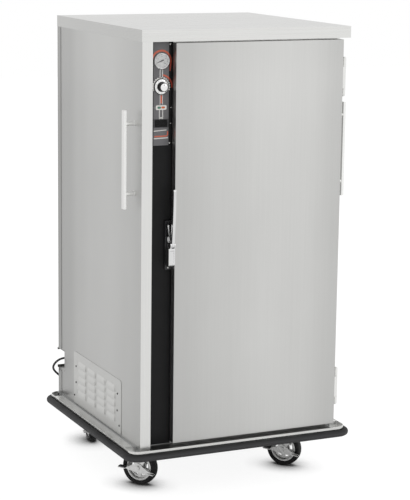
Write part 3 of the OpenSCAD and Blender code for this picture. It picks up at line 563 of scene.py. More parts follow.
def orange_ink(edge_x):
    """Orange ink, painted dark red past the label's right edge as painted shade, where the door's edge
    shades it.
    """
    material, tree, coords = start_material("orange screen ink")
    if tree is None:
        return material
    across = add(tree, "ShaderNodeSeparateXYZ", {"Vector": coords}).outputs["X"]
    painted_shade_past_label = spread(tree, across, edge_x - 0.5 * MM, edge_x + 0.5 * MM, 0, 1)
    colour = add(
        tree,
        "ShaderNodeMix",
        {0: painted_shade_past_label, 6: hex_rgba("#D4694E"), 7: hex_rgba("#8E2A12")},
        data_type="RGBA",
    ).outputs[2]
    shader = add(tree, "ShaderNodeBsdfPrincipled", {"Base Color": colour, "Roughness": 0.42})
    end_material(tree, shader)
    return material


def clear_glass(name="flat clock glass"):
    """A thin clear disc: it only adds a little reflection to the dial."""
    material, tree, _ = start_material(name)
    if tree is None:
        return material
    clear = add(tree, "ShaderNodeBsdfTransparent")
    shine = add(tree, "ShaderNodeBsdfGlossy", {"Roughness": 0.03})
    grazing = add(tree, "ShaderNodeFresnel", {"IOR": 1.45}).outputs[0]
    shader = add(tree, "ShaderNodeMixShader", {0: grazing, 1: clear.outputs[0], 2: shine.outputs[0]})
    end_material(tree, shader)
    return material


def glass_wool(name="glass wool"):
    """Yellow glass fibre: tangled strands a few millimetres long."""
    return speckled(name, "#D8C25A", 0.9, 3.0, 0.25, 0.8, 2.0)


def lamp_lens(name, base):
    """Ribbed polycarbonate over a lamp that is off: deep colour and a smooth shine."""
    return speckled(name, base, 0.18, 1.5, 0.15, 0.1, 0.1, **{"Transmission Weight": 0.15, "IOR": 1.58})


# ---------------------------------------------------------------- sizes and colours a user may change


class WarmerSteel(bpy.types.PropertyGroup):
    # one stainless throughout: the colours differ as painted light and shade, the sides and vent darker
    # as if shaded, the stile, cap and ledges lighter as if lit, the door between
    sheet: StringProperty(name="Door", description="Colour of the door's sheet", default="#D6D6D4")
    side: StringProperty(name="Sides", description="Colour of the side sheets", default="#B6B6B4")
    vent: StringProperty(name="Vent", description="Colour of the vent panel", default="#C6C6C4")
    ledge: StringProperty(name="Ledges", description="Colour of the ledges", default="#DEDEDC")
    trim: StringProperty(name="Trim", description="Colour of the stile", default="#ECECEA")
    cap: StringProperty(name="Cap", description="Colour of the top cap", default="#E0E0DE")
    rough: FloatProperty(
        name="Roughness", description="Roughness of the brushed sheet", default=0.34, min=0, max=1
    )


class WarmerLabel(bpy.types.PropertyGroup):
    width: FloatProperty(name="Width", description="Width of the label in millimetres", default=59.5)
    low: FloatProperty(name="Low", description="Lower edge over the ledge in millimetres", default=1122)
    high: FloatProperty(
        name="High", description="Upper edge over the ledge in millimetres", default=1494
    )
    ink: StringProperty(name="Ground", description="Colour of the label's ground", default="#6F6E70")


class WarmerCord(bpy.types.PropertyGroup):
    diameter: FloatProperty(
        name="Diameter", description="Thickness of the lead", default=0.009, unit="LENGTH"
    )
    turns: IntProperty(name="Turns", description="Turns in each layer of the coil", default=3)
    coil: FloatProperty(
        name="Coil", description="Radius of the coil's outer turn", default=0.068, unit="LENGTH"
    )


class WarmerStudio(bpy.types.PropertyGroup):
    spot: FloatVectorProperty(
        name="Camera",
        description="Where the camera stands",
        default=(-2.818, -6.130, 2.158),
        subtype="TRANSLATION",
    )
    yaw: FloatProperty(name="Yaw", description="Turn to the right of +Y in degrees", default=25.015)
    pitch: FloatProperty(name="Pitch", description="Look down in degrees", default=11.065)
    roll: FloatProperty(name="Roll", description="Lean of the camera in degrees", default=0.738)
    lens: FloatProperty(name="Lens", description="Focal length in millimetres", default=126.13)
    ambient: FloatProperty(name="Ambient", description="Strength of the even light", default=0.86)


# ---------------------------------------------------------------- operators


class WARMER_OT_camera(bpy.types.Operator):
    """Sets the camera where the photograph was taken from"""

    bl_idname = "warmer.camera"
    bl_label = "Camera"

    def execute(self, context):
        studio = context.scene.warmer_studio
        yaw, pitch, roll = (math.radians(a) for a in (studio.yaw, studio.pitch, studio.roll))
        level = math.cos(pitch)
        look = Vector((math.sin(yaw) * level, math.cos(yaw) * level, -math.sin(pitch)))
        right = Vector((math.cos(yaw), -math.sin(yaw), 0))
        up = right.cross(look)
        across = math.cos(roll) * right + math.sin(roll) * up
        upright = -math.sin(roll) * right + math.cos(roll) * up
        data = bpy.data.cameras.new("photograph")
        data.lens, data.sensor_width, data.sensor_fit = studio.lens, 36, "AUTO"
        data.clip_start, data.clip_end = 0.1, 100
        camera = bpy.data.objects.new("photograph", data)
        context.scene.collection.objects.link(camera)
        turn = Matrix((across, upright, -look)).transposed().to_4x4()
        camera.matrix_world = Matrix.Translation(Vector(studio.spot)) @ turn
        context.scene.camera = camera
        return {"FINISHED"}


class WARMER_OT_cord(bpy.types.Operator):
    """Lays the mains cord, its coil, its tie and its plug"""

    bl_idname = "warmer.cord"
    bl_label = "Mains cord"

    # The route from the gland to the coil, in body millimetres, as the construction has it
    route = (
        (38, 828, 150), (26, 828, 150), (10, 830, 149), (-6, 837, 143), (-17, 848, 131),
        (-22, 862, 115), (-19, 877, 98), (-8, 890, 82), (7, 899, 67), (23, 904, 53),
        (40, 904, 39), (56, 900, 26), (71, 894, 14), (86, 887, 4), (102, 883, -3),
        (118, 883, -6), (133, 886, -7.5), (147, 893, -12), (158, 901, -20), (165, 907, -31),
        (169, 911, -47), (171, 912, -66), (172, 913, -86), (173, 913, -106),
        (175, 913, -125), (179, 913, -143), (187, 914, -159), (199, 915, -172),
        (215, 916, -182), (233, 917, -187), (252, 917, -188), (272, 917, -188),
        (291, 917, -188), (310, 917, -188),
    )
    centre = (340, 985)
    pitch = 10.6
    rise = 11.4
    steps = 24
    lead = 12
    tail = 52

    def coil(self, cord):
        """The coil: the angle grows evenly, the radius falls by the pitch each turn, holds for half
        a turn while the height climbs by one layer, and grows again."""
        inward = self.steps * cord.turns
        climb = self.steps // 2
        i = np.arange(2 * inward + climb + 1)
        outer = cord.coil / MM
        inner = outer - self.pitch * cord.turns
        from_end = np.where(i <= inward + climb / 2, i, i[-1] - i)
        radius = np.maximum(inner, outer - self.pitch * from_end / self.steps)
        angle = np.radians(-90 + 360 * i / self.steps)
        height = FLOOR_Z + cord.diameter / MM / 2 + self.rise * np.clip((i - inward) / climb, 0, 1)
        across, back = radius * np.cos(angle), radius * np.sin(angle)
        return np.stack([self.centre[0] + across, self.centre[1] + back, height], -1)

    def execute(self, context):
        cord = context.scene.warmer_cord
        rubber = speckled("PVC cord sheath", "#0E0E0F", 0.42, 1.5, 0.12, 0.15, 0.08)
        loops = self.coil(cord)
        last = loops[-1] - np.outer([16, 34, self.tail], [1, 0, 0])
        line = place(np.concatenate([self.route, loops[:1] - [self.lead, 0, 0], loops, last]))
        data = bpy.data.curves.new("mains_cord", "CURVE")
        data.dimensions = "3D"
        data.bevel_depth, data.bevel_resolution, data.use_fill_caps = cord.diameter / 2, 4, True
        data.resolution_u = 3
        spline = data.splines.new("BEZIER")
        spline.bezier_points.add(len(line) - 1)
        spline.bezier_points.foreach_set("co", line.ravel())
        for point in spline.bezier_points:
            point.handle_left_type = point.handle_right_type = "AUTO"
        data.materials.append(rubber)
        flex = bpy.data.objects.new("mains_cord", data)
        context.scene.collection.objects.link(flex)
        context.view_layer.update()
        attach(flex, "cabinet")
        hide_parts("cord_run", "cord_coil")
        plug = self.plug(last[-1])
        tie = self.tie(cord)
        return {"FINISHED"}

    def plug(self, start):
        """A straight moulded plug: a flared body with finger flutes, and three brass pins. The body
        is a surface of revolution whose radius dips by a cosine of the angle over its grip."""
        moulded = speckled("moulded PVC", "#151516", 0.38, 2.0, 0.08, 0.1, 0.06)
        brass = polished_stainless("nickel-plated brass", "#C9C2AE", 0.22)
        reach = body_box("plug")[1][2] - FLOOR_Z
        radius = reach / 2
        profile = np.array([(5.0, 0), (6.0, 2), (6.6, 10), (9, 16), (12, 23), (radius - 0.4, 29),
                            (radius, 33), (radius, 44), (radius - 0.5, 48), (radius - 2.4, 50)])
        body = revolve(profile, 72)
        angle = np.arctan2(body[..., 1], body[..., 0])
        grip = np.clip(1 - abs(body[..., 2] - 36) / 9, 0, 1)
        flute = 1 - 0.045 * grip * (1 + np.cos(18 * angle))
        body[..., :2] *= flute[..., None]
        # across turns up, up turns sideways, and the length lies towards -x
        lying = np.array([[0, 0, 1], [0, 1, 0], [-1, 0, 0]], float)
        spot = np.array(start, float)
        spot[2] = FLOOR_Z + radius
        shape = shell("plug_body", [spot + body @ lying], moulded, "cabinet", 50)
        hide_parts("plug")
        pins = []
        for y in (-6.5, 6.5):
            rows = [(3.2, 0.75, 0.4, 49), (3.2, 0.75, 0.4, 64.5), (2.6, 0.4, 0.3, 66)]
            blade = rounded_rings(rows, 3)
            pins.append(spot + (blade + [-0.8, y, 0]) @ lying)
        round_pin = revolve([(2.4, 49), (2.4, 65), (1.6, 67.4), (0.4, 68)], 24)
        pins.append(spot + (round_pin + [7.5, 0, 0]) @ lying)
        blades = shell("plug_pins", pins, brass, "cabinet", 40)
        return [shape, blades]

    def tie(self, cord):
        """A hook-and-loop tie round the coil's bundle: a flat band, a rounded rectangle across the
        bundle carried along its width."""
        fabric = speckled("hook-and-loop strap", "#232427", 0.85, 1.2, 0.2, 0.6, 0.4)
        half = cord.diameter / MM / 2
        outer = cord.coil / MM
        inner = outer - self.pitch * cord.turns
        wide = (outer - inner) / 2 + half
        tall = (self.rise + 2 * half) / 2
        band = rounded_rings(
            [(wide + 0.3, tall - 0.05, 4, -6), (wide + 1.4, tall - 0.05, 5, -6),
             (wide + 1.4, tall - 0.05, 5, 6), (wide + 0.3, tall - 0.05, 4, 6)], 6)
        band[1:3, :, 1] = np.where(band[1:3, :, 1] > 0, band[1:3, :, 1] + 1.2, band[1:3, :, 1])
        spot = np.array([self.centre[0] + (outer + inner) / 2, self.centre[1], FLOOR_Z + tall])
        axes = np.array([[1, 0, 0], [0, 0, 1], [0, 1, 0]], float)
        return shell("coil_tie", [spot + band @ axes], fabric, "cabinet", 40, ring=True)


class WARMER_OT_sheets(bpy.types.Operator):
    """Finishes the cabinet's sheets, trim, insulation and inner parts"""

    bl_idname = "warmer.sheets"
    bl_label = "Sheets and inner parts"

    def execute(self, context):
        steel = context.scene.warmer_steel
        rough = steel.rough
        # painted shade: the sheets are painted darker towards the door and much darker towards the
        # back, and a little darker low down
        depth = [(0, 0.9), (120, 0.95), (300, 1.0), (500, 0.98), (620, 0.92), (740, 0.79), (861, 0.75)]
        upright = [(0, 0.97), (1150, 0.98), (1400, 1.0), (1540, 1.0)]
        side = brushed_stainless("brushed stainless, side sheets with painted shade", steel.side, rough, "z", 0.03,
                                 [("Y", depth), ("Z", upright)])
        # painted shade: on the left panel, the faces that look sideways are painted darker than the
        # stile's front
        folded = brushed_stainless(
            "brushed stainless, folded into the stile with painted shade", steel.trim, rough, "z", 0.03,
            [("Y", depth), ("Z", upright)], [("X", 0.65)])
        # painted shade: the door sheet is painted darker towards its left and right edges and towards
        # its bottom
        door = brushed_stainless(
            "brushed stainless, door sheet with painted shade", steel.sheet, rough, "z", 0.025,
            [("X", [(132, 0.83), (330, 0.93), (530, 1.0), (650, 0.985), (812, 0.86)]),
             ("Z", [(0, 0.93), (700, 0.95), (1300, 1.0), (1500, 0.96)])])
        # painted shade: the cap's end faces and its top are painted darker than its front
        cap = brushed_stainless("fine brushed stainless cap with painted shade", steel.cap, rough - 0.06, "x", 0.02,
                                faces=[("X", 0.68), ("Z", 0.74)])
        # painted reflection: the front channel is painted dark up to about 38 mm back from the door's
        # face, lightening by 50 mm, standing in for the dark surroundings it mirrors
        ledge = brushed_stainless("brushed stainless ledges with painted reflection", steel.ledge, rough, "x", 0.05,
                                  [("Y", [(36, 0.24), (38, 0.25), (50, 1.0), (60, 1.0)])])
        # painted light: the frame takes the light trim colour, as if lit, though it is the same
        # stainless as the sides
        stile = brushed_stainless("fine brushed stainless frame", steel.trim, rough - 0.06, "z", 0.03)
        inner = brushed_stainless("stainless liner, mill finish", "#BEBFBF", 0.42, "y", 0.04)
        dress(["right_panel", "back_panel", "cord_pocket"], side)
        dress(["left_panel"], folded)
        dress(["top_cap"], cap)
        dress(["front_frame"], stile)
        dress(["ledge_channels"], ledge)
        dress(["door_skin"], door)
        dress(["chamber_liner", "door_liner", "pilasters"], inner)
        dress(["shelves"], polished_stainless("bright chrome wire", "#D6D7D8", 0.1))
        dress(["insulation", "door_core"], glass_wool())
        dress(["base_frame", "blower_housing", "blower_wheel", "thermostat"], galvanised_sheet())
        dress(["heater_element"], speckled("oxidised heater sheath", "#4A3F38", 0.5, 6, 0.2, 0.1, 0.05,
                                           Metallic=0.8))
        dress(["door_gasket"], speckled("silicone gasket", "#1C1C1D", 0.55, 2.0, 0.1, 0.1, 0.05))
        dress(["recess_panel"], speckled("black powder coat", "#131314", 0.45, 1.6, 0.12, 0.25, 0.06,
                                         **{"Specular IOR Level": 0.2}))
        dress(["bumper"], extruded_rubber())
        dress(["bumper_bar"], polished_stainless())
        # painted shade: the bars' faces that look sideways are painted darker than the others
        dress(["push_handles"], brushed_stainless("satin stainless flat bar with painted shade", "#F4F4F2", 0.3, "z", 0.02,
                                                  faces=[("X", 0.86)]))
        dress(["hinge_frame_leaves", "hinge_door_leaves"],
              polished_stainless("polished stainless hinge", "#EDEDEB", 0.2))
        dress(["latch_body", "latch_lever", "latch_arm"],
              polished_stainless("chromed die casting", "#DEDEDE", 0.12))
        dress(["latch_keeper"], speckled("black oxide steel", "#3A3A3C", 0.35, 2.0, 0.1, 0.1, 0.05,
                                         Metallic=0.6))
        dress(["cord_gland"], speckled("black nylon gland", "#191919", 0.45, 1.5, 0.08, 0.1, 0.05))
        return {"FINISHED"}


class WARMER_OT_vent(bpy.types.Operator):
    """Presses the louvred panel low on the left side"""

    bl_idname = "warmer.vent"
    bl_label = "Louvred panel"

    columns = 4
    rows = 5
    first = (286, 42)  # the middle of the first louvre's open edge, along and up
    spacing = (102.5, 29.3)
    size = (79, 25)  # of a louvre, along and up
    end = 12  # how far a louvre's rounded end reaches in
    corner = 14  # radius of the panel's upper corners
    proud = 1.6  # the sheet's outer face, out from the side panel
    wall = 1.4
    slit = 0.05  # from the sheet's edge up to the louvre's open edge

    def execute(self, context):
        """The sheet stands out by the louvre's depth times 1 - v^2 up it, v from 0 at the open edge
        to 1, and times sqrt(1 - q^2) over its rounded ends, q from 0 to 1 at the tip. The quads
        under each open edge are left out."""
        steel = context.scene.warmer_steel
        low, high = body_box("vent_panel")
        face = high[0] - self.proud
        deep = face - low[0] - 0.1
        length, tall = self.size
        q = np.sin(np.linspace(np.pi / 2, 0, 9))
        tip = length / 2 - self.end * (1 - q)
        tip = np.concatenate([tip, -tip[::-1]])
        round_end = np.sqrt(1 - np.concatenate([q, q[::-1]]) ** 2)
        v = np.linspace(0, 1, 9)
        y, ends, z, rise = [[high[1]]], [[0]], [[low[2]]], [[0]]
        for k in reversed(range(self.columns)):
            y.append(self.first[0] + self.spacing[0] * k + tip)
            ends.append(round_end)
        for k in range(self.rows):
            z.append(self.first[1] + self.spacing[1] * k + np.concatenate([[-self.slit], tall * v]))
            rise.append(np.concatenate([[0], 1 - v**2]))
        lift = np.sin(np.linspace(0, np.pi / 2, 7))
        z.append(high[2] - self.corner * (1 - lift))
        rise.append(0 * lift)
        y, ends, z, rise = (np.concatenate(part) for part in (y + [[low[1]]], ends + [[0]], z, rise))
        above = np.clip(z - high[2] + self.corner, 0, self.corner)
        half, middle = (high[1] - low[1]) / 2, (high[1] + low[1]) / 2
        narrow = (half - self.corner + np.sqrt(self.corner**2 - above**2)) / half
        grid = np.stack(
            [
                face - deep * np.outer(rise, ends),
                middle + np.outer(narrow, y - middle),
                np.outer(z, np.ones(len(y))),
            ],
            -1,
        )
        lips = (rise[:-1] == 0) & (rise[1:] == 1)
        opened = np.outer(lips, np.maximum(ends[:-1], ends[1:]) > 0)
        index = np.arange(grid[..., 0].size).reshape(grid.shape[:2])
        quads = np.stack([index[:-1, :-1], index[:-1, 1:], index[1:, 1:], index[1:, :-1]], -1)
        mesh = bpy.data.meshes.new("louvred_panel")
        mesh.from_pydata(place(grid.reshape(-1, 3)).tolist(), [], quads[~opened].tolist())
        shade(mesh, 20)
        self.crease_cuts(mesh)
        # painted shade: the vent panel is painted darker towards its bottom, by the ledge
        material = brushed_stainless(
            "brushed stainless, vent panel with painted shade", steel.vent, steel.rough, "y", 0.02,
            [("Z", [(0, 0.87), (60, 0.97), (120, 1.0), (217, 1.0)])])
        piece = hang(mesh, material, "cabinet")
        sheet = piece.modifiers.new("sheet", "SOLIDIFY")
        sheet.thickness, sheet.offset = self.wall * MM, -1
        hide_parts("vent_panel")
        return {"FINISHED"}

    def crease_cuts(self, mesh):
        """Keeps the cut edges sharp, which are those with one face, so that the wall stays flat."""
        edges = np.zeros(len(mesh.loops), int)
        sharp = np.zeros(len(mesh.edges), bool)
        mesh.loops.foreach_get("edge_index", edges)
        mesh.edges.foreach_get("use_edge_sharp", sharp)
        cut = np.bincount(edges, minlength=len(sharp)) == 1
        mesh.edges.foreach_set("use_edge_sharp", sharp | cut)


class WARMER_OT_controls(bpy.types.Operator):
    """Makes the dial, the knob, the lamps, the switch's finish and the printed label"""

    bl_idname = "warmer.controls"
    bl_label = "Controls and label"

    def execute(self, context):
        label = context.scene.warmer_label
        low, high = body_box("thermometer_case")
        self.dial = np.array([(low[0] + high[0]) / 2, (low[2] + high[2]) / 2])
        low, high = body_box("thermostat_knob")
        self.knob = np.array([(low[0] + high[0]) / 2, (low[2] + high[2]) / 2])
        self.lamp_z = sum(body_box("lamp_plate")[i][2] for i in (0, 1)) / 2
        self.switch_z = sum(body_box("switch_frame")[i][2] for i in (0, 1)) / 2
        self.face = body_box("recess_panel")[0][1]
        self.x0 = self.dial[0] - label.width / 2
        self.x1 = self.dial[0] + label.width / 2
        self.label_plate(label)
        self.prints(label)
        self.dial_face()
        self.knob_pieces()
        self.lamps()
        dress(["thermometer_case"], polished_stainless("chromed bezel", "#DCDCDC", 0.1))
        dress(["thermometer_lens"], clear_glass())
        dress(["thermometer_needle"], speckled("black lacquered needle", "#1A1A1A", 0.4, 2))
        dress(["lamp_plate"], speckled("white ABS bezel", "#ECEBE6", 0.35, 2.0, 0.02, 0.05, 0.03))
        dress(["switch_frame", "switch_rocker"],
              speckled("black nylon switch", "#0B0B0C", 0.38, 2.0, 0.08, 0.1, 0.05,
                       **{"Specular IOR Level": 0.2}))
        return {"FINISHED"}

    def label_plate(self, label):
        film = printed_film(base=label.ink)
        mid = [(self.x0 + self.x1) / 2, self.face, (label.low + label.high) / 2]
        rows = slab_rows(label.width, label.high - label.low, 1.0, -0.2, 0.35, 0.15)
        shell("control_label", [stand(rounded_rings(rows, 4), mid, "front")], film, "cabinet")

    def flat(self, lines):
        """Grids of printed strips, lifted a hair above the label."""
        y = self.face - 0.35
        grids = []
        for line, width in lines:
            local = strip(line, width, -0.15, 0.12)
            grids.append(stand(local, [0, y, 0], "front"))
        return grids

    def prints(self, label):
        white = print_ink("white screen ink", "#E4E3DF")
        orange = orange_ink(place([self.x1, 0, 0])[0])
        dark = print_ink("charcoal screen ink", "#3C3C3E")
        dial, knob, mid = self.dial, self.knob, self.dial[0]
        tail = np.stack([np.linspace(36.5, 33.5, 8), np.linspace(0, -37, 8)], -1)[1:] + dial
        over_dial = np.concatenate([arc_line(dial, 36.5, 180, 0, 40), tail])
        width = np.concatenate([np.full(40, 7.0), np.linspace(7, 4.5, 7)])
        round_knob = arc_line(knob, 41.5, 82, -6, 30)
        bar = [[mid + 0.5, 1274], [mid + 0.5, 1303]]
        hook = np.array([[self.x0 + 4, 1155], [self.x1 - 9, 1155.5], [self.x1 - 5, 1158],
                         [self.x1 - 3.5, 1163], [self.x1 - 3.5, 1173]])
        lines = [(over_dial, width), (round_knob, 6.0), (bar, 6.5), (hook, 4.5)]
        shell("orange_print", self.flat(lines), orange, "cabinet")
        lines = []
        for side in (-1, 1):
            lines += [
                ([[mid + side * 4.8, 1362], [mid + side * 4.8, 1396]], 3.0),
                ([[mid + 0.5 + side * 4.8, 1270], [mid + 0.5 + side * 4.8, 1308]], 2.2),
                ([[mid + side * 6.4, 1220], [mid + side * 6.4, 1251]], 2.8),
            ]
        lines += [
            (arc_line((mid, 1214), 8, 150, 30, 12), 4.0),
            ([[self.x0 + 2, 1174.5], [self.x1 - 8, 1177.5]], 3.0),
            ([[self.x0 + 2, 1147.5], [self.x1 - 2, 1149]], 3.6),
        ]
        shell("white_print", self.flat(lines), white, "cabinet")
        band = self.flat([([[self.x0 + 0.6, self.switch_z], [self.x1 - 0.6, self.switch_z]], 31.0)])
        shell("switch_band_print", band, dark, "cabinet")

    def dial_face(self):
        """White dial with ticks every 20 and figures every 60, over 250 degrees."""
        white = print_ink("white enamelled dial", "#FFFFFE")
        black = print_ink("grey dial print", "#8C8C8E")
        radius = (body_box("thermometer_lens")[1][0] - body_box("thermometer_lens")[0][0]) / 2 - 1.2
        y = self.face - 1
        spot = [self.dial[0], y, self.dial[1]]
        disc = revolve([(radius, -0.2), (radius, 0.15), (radius - 0.2, 0.25), (0.5, 0.25)], 64)
        shell("dial_face", [stand(disc, spot, "front")], white, "cabinet")
        ticks = []
        for k in range(13):
            angle = math.radians(215 - k * 250 / 12)
            long = k % 3 == 0
            inner = radius - (4.2 if long else 2.6)
            line = [[r * math.cos(angle), r * math.sin(angle)] for r in (inner, radius - 1)]
            ticks.append(stand(strip(line, 0.6 if long else 0.35, 0.2, 0.34), spot, "front"))
        ring = stand(strip(arc_line((0, 0), radius - 1, 215, -35, 60), 0.35, 0.2, 0.33), spot, "front")
        shell("dial_ticks", [*ticks, ring], black, "cabinet")
        texts = []
        for k, figure in enumerate(("0", "60", "120", "180", "240")):
            angle = math.radians(215 - k * 250 / 4)
            across, up = (radius - 8) * math.cos(angle), (radius - 8) * math.sin(angle)
            texts.append((figure, 4.2, [spot[0] + across, y - 0.3, spot[2] + up]))
        figures("dial_figures", texts, black, "cabinet")

    def knob_pieces(self):
        """The thermostat's knob: a spun skirt in a black rim, with a fluted black grip and a bright
        inlay. The grip's radius is R (1 - a (1 + cos n t)), a ring of shallow flutes."""
        low, high = body_box("thermostat_knob")
        skirt_r = (high[0] - low[0]) / 2
        back, front = high[1], low[1]
        spot = [self.knob[0], back, self.knob[1]]
        deep = back - front
        bright = polished_stainless("spun aluminium", "#F2F2F1", 0.24)
        black = speckled("black phenolic", "#19191A", 0.3, 1.5, 0.06, 0.05, 0.03)
        white = print_ink("white scale ink", "#EFEEEA")
        skirt = revolve([(3.1, 0), (skirt_r - 2.2, 0), (skirt_r - 2.2, 2.5), (skirt_r - 3.6, 3.4),
                         (skirt_r - 9, 4.4), (3.1, 4.6)], 96)
        rim = revolve([(skirt_r - 2.2, 0), (skirt_r - 1, 0), (skirt_r, 0.5), (skirt_r, 1.2),
                       (skirt_r - 2.2, 2.4)], 96)
        knob = shell("knob_skirt", [stand(skirt, spot, "front")], bright, "knob", 40, ring=True)
        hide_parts("thermostat_knob")
        shell("knob_rim", [stand(rim, spot, "front")], black, "knob", 40, ring=True)
        profile = [(18.6, 3.9), (18.2, 5.5), (17, 7.5), (16.6, deep - 6), (16.2, deep - 2.4),
                   (15.2, deep - 1.2), (13.9, deep - 0.8), (13.7, deep - 1.1), (0.4, deep - 1.1)]
        grip = revolve(profile, 144)
        angle = np.arctan2(grip[..., 1], grip[..., 0])
        mid = np.clip((grip[..., 2] - 5) / 3, 0, 1) * np.clip((deep - 0.9 - grip[..., 2]) / 2.5, 0, 1)
        grip[..., :2] *= (1 - 0.028 * mid * (1 + np.cos(24 * angle)))[..., None]
        shell("knob_grip", [stand(grip, spot, "front")], black, "knob", 60)
        profile = [(13.6, deep - 1.6), (13.6, deep - 0.7), (13.0, deep - 0.35), (0.4, deep - 0.2)]
        inlay = revolve(profile, 64)
        shell("knob_inlay", [stand(inlay, spot, "front")], bright, "knob")
        mark = stand(strip([[0, 5], [0, 13]], 1.6, deep - 0.6, deep - 0.1), spot, "front")
        shell("knob_mark", [mark], black, "knob")
        numbers = []
        for k in range(10):
            angle = math.radians(90 - 36 * k)
            across, up = 23.4 * math.cos(angle), 23.4 * math.sin(angle)
            numbers.append((str(k), 5.0, [spot[0] + across, back - 4.05, spot[2] + up]))
        figures("knob_figures", numbers, black, "knob", 0.3)
        # the printed scale round the knob, with a scalloped outer edge
        t = np.radians(np.linspace(205, -25, 232))
        inner, outer = 29.4, 33.6 + 1.6 * np.cos(24 * (t[0] - t))
        ring = np.stack([
            np.stack([r * np.cos(t), r * np.sin(t), 0 * t + level], -1)
            for r, level in ((inner, -0.15), (outer, -0.15), (outer, 0.12), (inner, 0.12))
        ], 1)
        base = [self.knob[0], self.face - 0.35, self.knob[1]]
        shell("knob_scale_print", [stand(ring, base, "front")], white, "cabinet")

    def lamps(self):
        """Two oval lenses: the height is H (1 - q^3) for q, the share of the way out to the rim."""
        plate_low, plate_high = body_box("lamp_plate")
        mid = (plate_low[0] + plate_high[0]) / 2
        for name, sign, colour in (("green_lamp", -1, "#4F8A72"), ("amber_lamp", 1, "#E0703C")):
            q = np.array([1.0, 1.0, 0.94, 0.8, 0.6, 0.35, 0.1])
            out = 1.5 + 1.9 * (1 - q**3)
            out[0] = -11
            rows = [(6.8 * k, 3.6 * k, 3.4 * k, h) for k, h in zip(q, out)]
            lens = stand(rounded_rings(rows, 8), [mid + 7.6 * sign, self.face, self.lamp_z], "front")
            clear = lamp_lens(f"polycarbonate {name}", colour)
            piece = shell(name, [lens], clear, "cabinet", 60)
            if sign < 0:
                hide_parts("indicator_lamps")


class WARMER_OT_fasteners(bpy.types.Operator):
    """Puts in the screws of the vent panel, recess, hinges, latch and keeper"""

    bl_idname = "warmer.fasteners"
    bl_label = "Screws"

    def execute(self, context):
        # painted shade: the vent panel's screw heads are black, standing in for the shade they sit in
        black = speckled("black screw, painted shade", "#1C1C1D", 0.35, 2.0, 0.1, 0.05, 0.03, Metallic=0.5)
        bright = polished_stainless("stainless screw", "#D2D2D0", 0.2)
        vent_x = body_box("vent_panel")[1][0] - 1.6
        spots = [(658, 158), (658, 92), (676, 35), (219, 159), (221, 93), (201, 38)]
        shell("vent_screws", [stand(screw_head(4.2, 2.2), [vent_x, y, z], "left") for y, z in spots],
              black, "cabinet")
        face = body_box("recess_panel")[0][1]
        spots = [(124, 1485, 3.6), (124, 1130, 3.6), (129, 1258, 2.2), (127, 1201, 2.0),
                 (63.5, 1258, 2.0)]
        heads = [stand(screw_head(r, r * 0.6), [x, face - 0.3, z], "front") for x, z, r in spots]
        shell("recess_screws", heads, bright, "cabinet")
        keeper = body_box("latch_keeper")
        mid = (keeper[0][0] + keeper[1][0]) / 2
        heads = [stand(screw_head(3.4, 1.8), [mid, keeper[0][1], z], "front")
                 for z in (keeper[0][2] + 7, keeper[0][2] + 88)]
        shell("keeper_screws", heads, bright, "cabinet")
        side = body_box("hinge_frame_leaves")
        leaf_x = body_box("right_panel")[1][0] + 3
        heads = []
        for z0 in (side[0][2] + 3, side[1][2] - 145):
            for z in (20, 71, 122):
                heads.append(stand(screw_head(4.6, 2.0), [leaf_x, 63, z0 + z], "right"))
        shell("hinge_screws", heads, bright, "cabinet")
        return {"FINISHED"}


class WARMER_OT_casters(bpy.types.Operator):
    """Finishes the casters and adds their brake pads and bolts"""

    bl_idname = "warmer.casters"
    bl_label = "Casters"

    pedal_tilt = 5.0  # degrees, raised at the padded wing
    pad_reach = 59.0  # from the axle along the wing to the middle of the pad
    pad_out = 34.2  # from the wheel's middle plane out to the middle of the pad

    def execute(self, context):
        zinc = bright_zinc()
        tyre = speckled("black thermoplastic rubber", "#0F0F10", 0.55, 2.5, 0.12, 0.15, 0.1,
                        **{"Specular IOR Level": 0.25})
        pad_rubber = speckled("moulded rubber pad", "#3C3C3D", 0.6, 1.5, 0.1, 0.2, 0.1)
        dress(["caster_plates"], zinc)
        for corner in CORNERS:
            dress([f"fork_{corner}", f"brake_{corner}"], zinc)
            dress([f"hub_{corner}"], bright_zinc("pressed zinc wheel centre", "#D6D6D5", 0.34))
            dress([f"tyre_{corner}"], tyre)
        joints = {joint["name"]: joint for joint in frame["joints"]}
        for corner in CORNERS:
            axle = (np.array(joints[f"wheel_spin_{corner}"]["pos_m"]) - ORIGIN) / MM
            across = np.array(joints[f"wheel_spin_{corner}"]["axis"])  # along the wheel's axle
            ahead = np.cross(across, [0, 0, 1.0])  # level, towards the padded wing
            tilt = math.radians(self.pedal_tilt)
            wing = ahead * math.cos(tilt) + np.array([0, 0, 1.0]) * math.sin(tilt)
            over = np.cross(wing, across) * -1
            axes = np.array([wing, across, over if over[2] > 0 else -over])
            rows = [(14, 10, 3, -4.7), (14, 10, 3, -2.4), (13.4, 9.4, 3, -1.2), (12.6, 8.6, 2.6, -0.8)]
            base = rounded_rings(rows, 5) + [self.pad_reach, self.pad_out, 0]
            grids = [axle + base @ axes]
            for k in range(5):
                rows = [(1.1, 8.0, 0.8, -1.2), (1.0, 7.8, 0.7, -0.2), (0.6, 7.4, 0.5, 0.1)]
                rib = rounded_rings(rows, 3)
                grids.append(axle + (rib + [self.pad_reach + 4.6 * (k - 2), self.pad_out, 0]) @ axes)
            shell(f"brake_pad_{corner}", grids, pad_rubber, f"pedal_{corner}", 50)
        plate_top = body_box("caster_plates")[1][2]
        heads = []
        for corner in CORNERS:
            cx, cy, _ = (np.array(joints[f"swivel_{corner}"]["pos_m"]) - ORIGIN) / MM
            for sx in (-38, 38):
                for sy in (-38, 38):
                    heads.append(stand(hex_head(8.2, 5.4), [cx + sx, cy + sy, plate_top - 4], "under"))
        shell("caster_bolts", heads, zinc, "cabinet", 30)
        return {"FINISHED"}


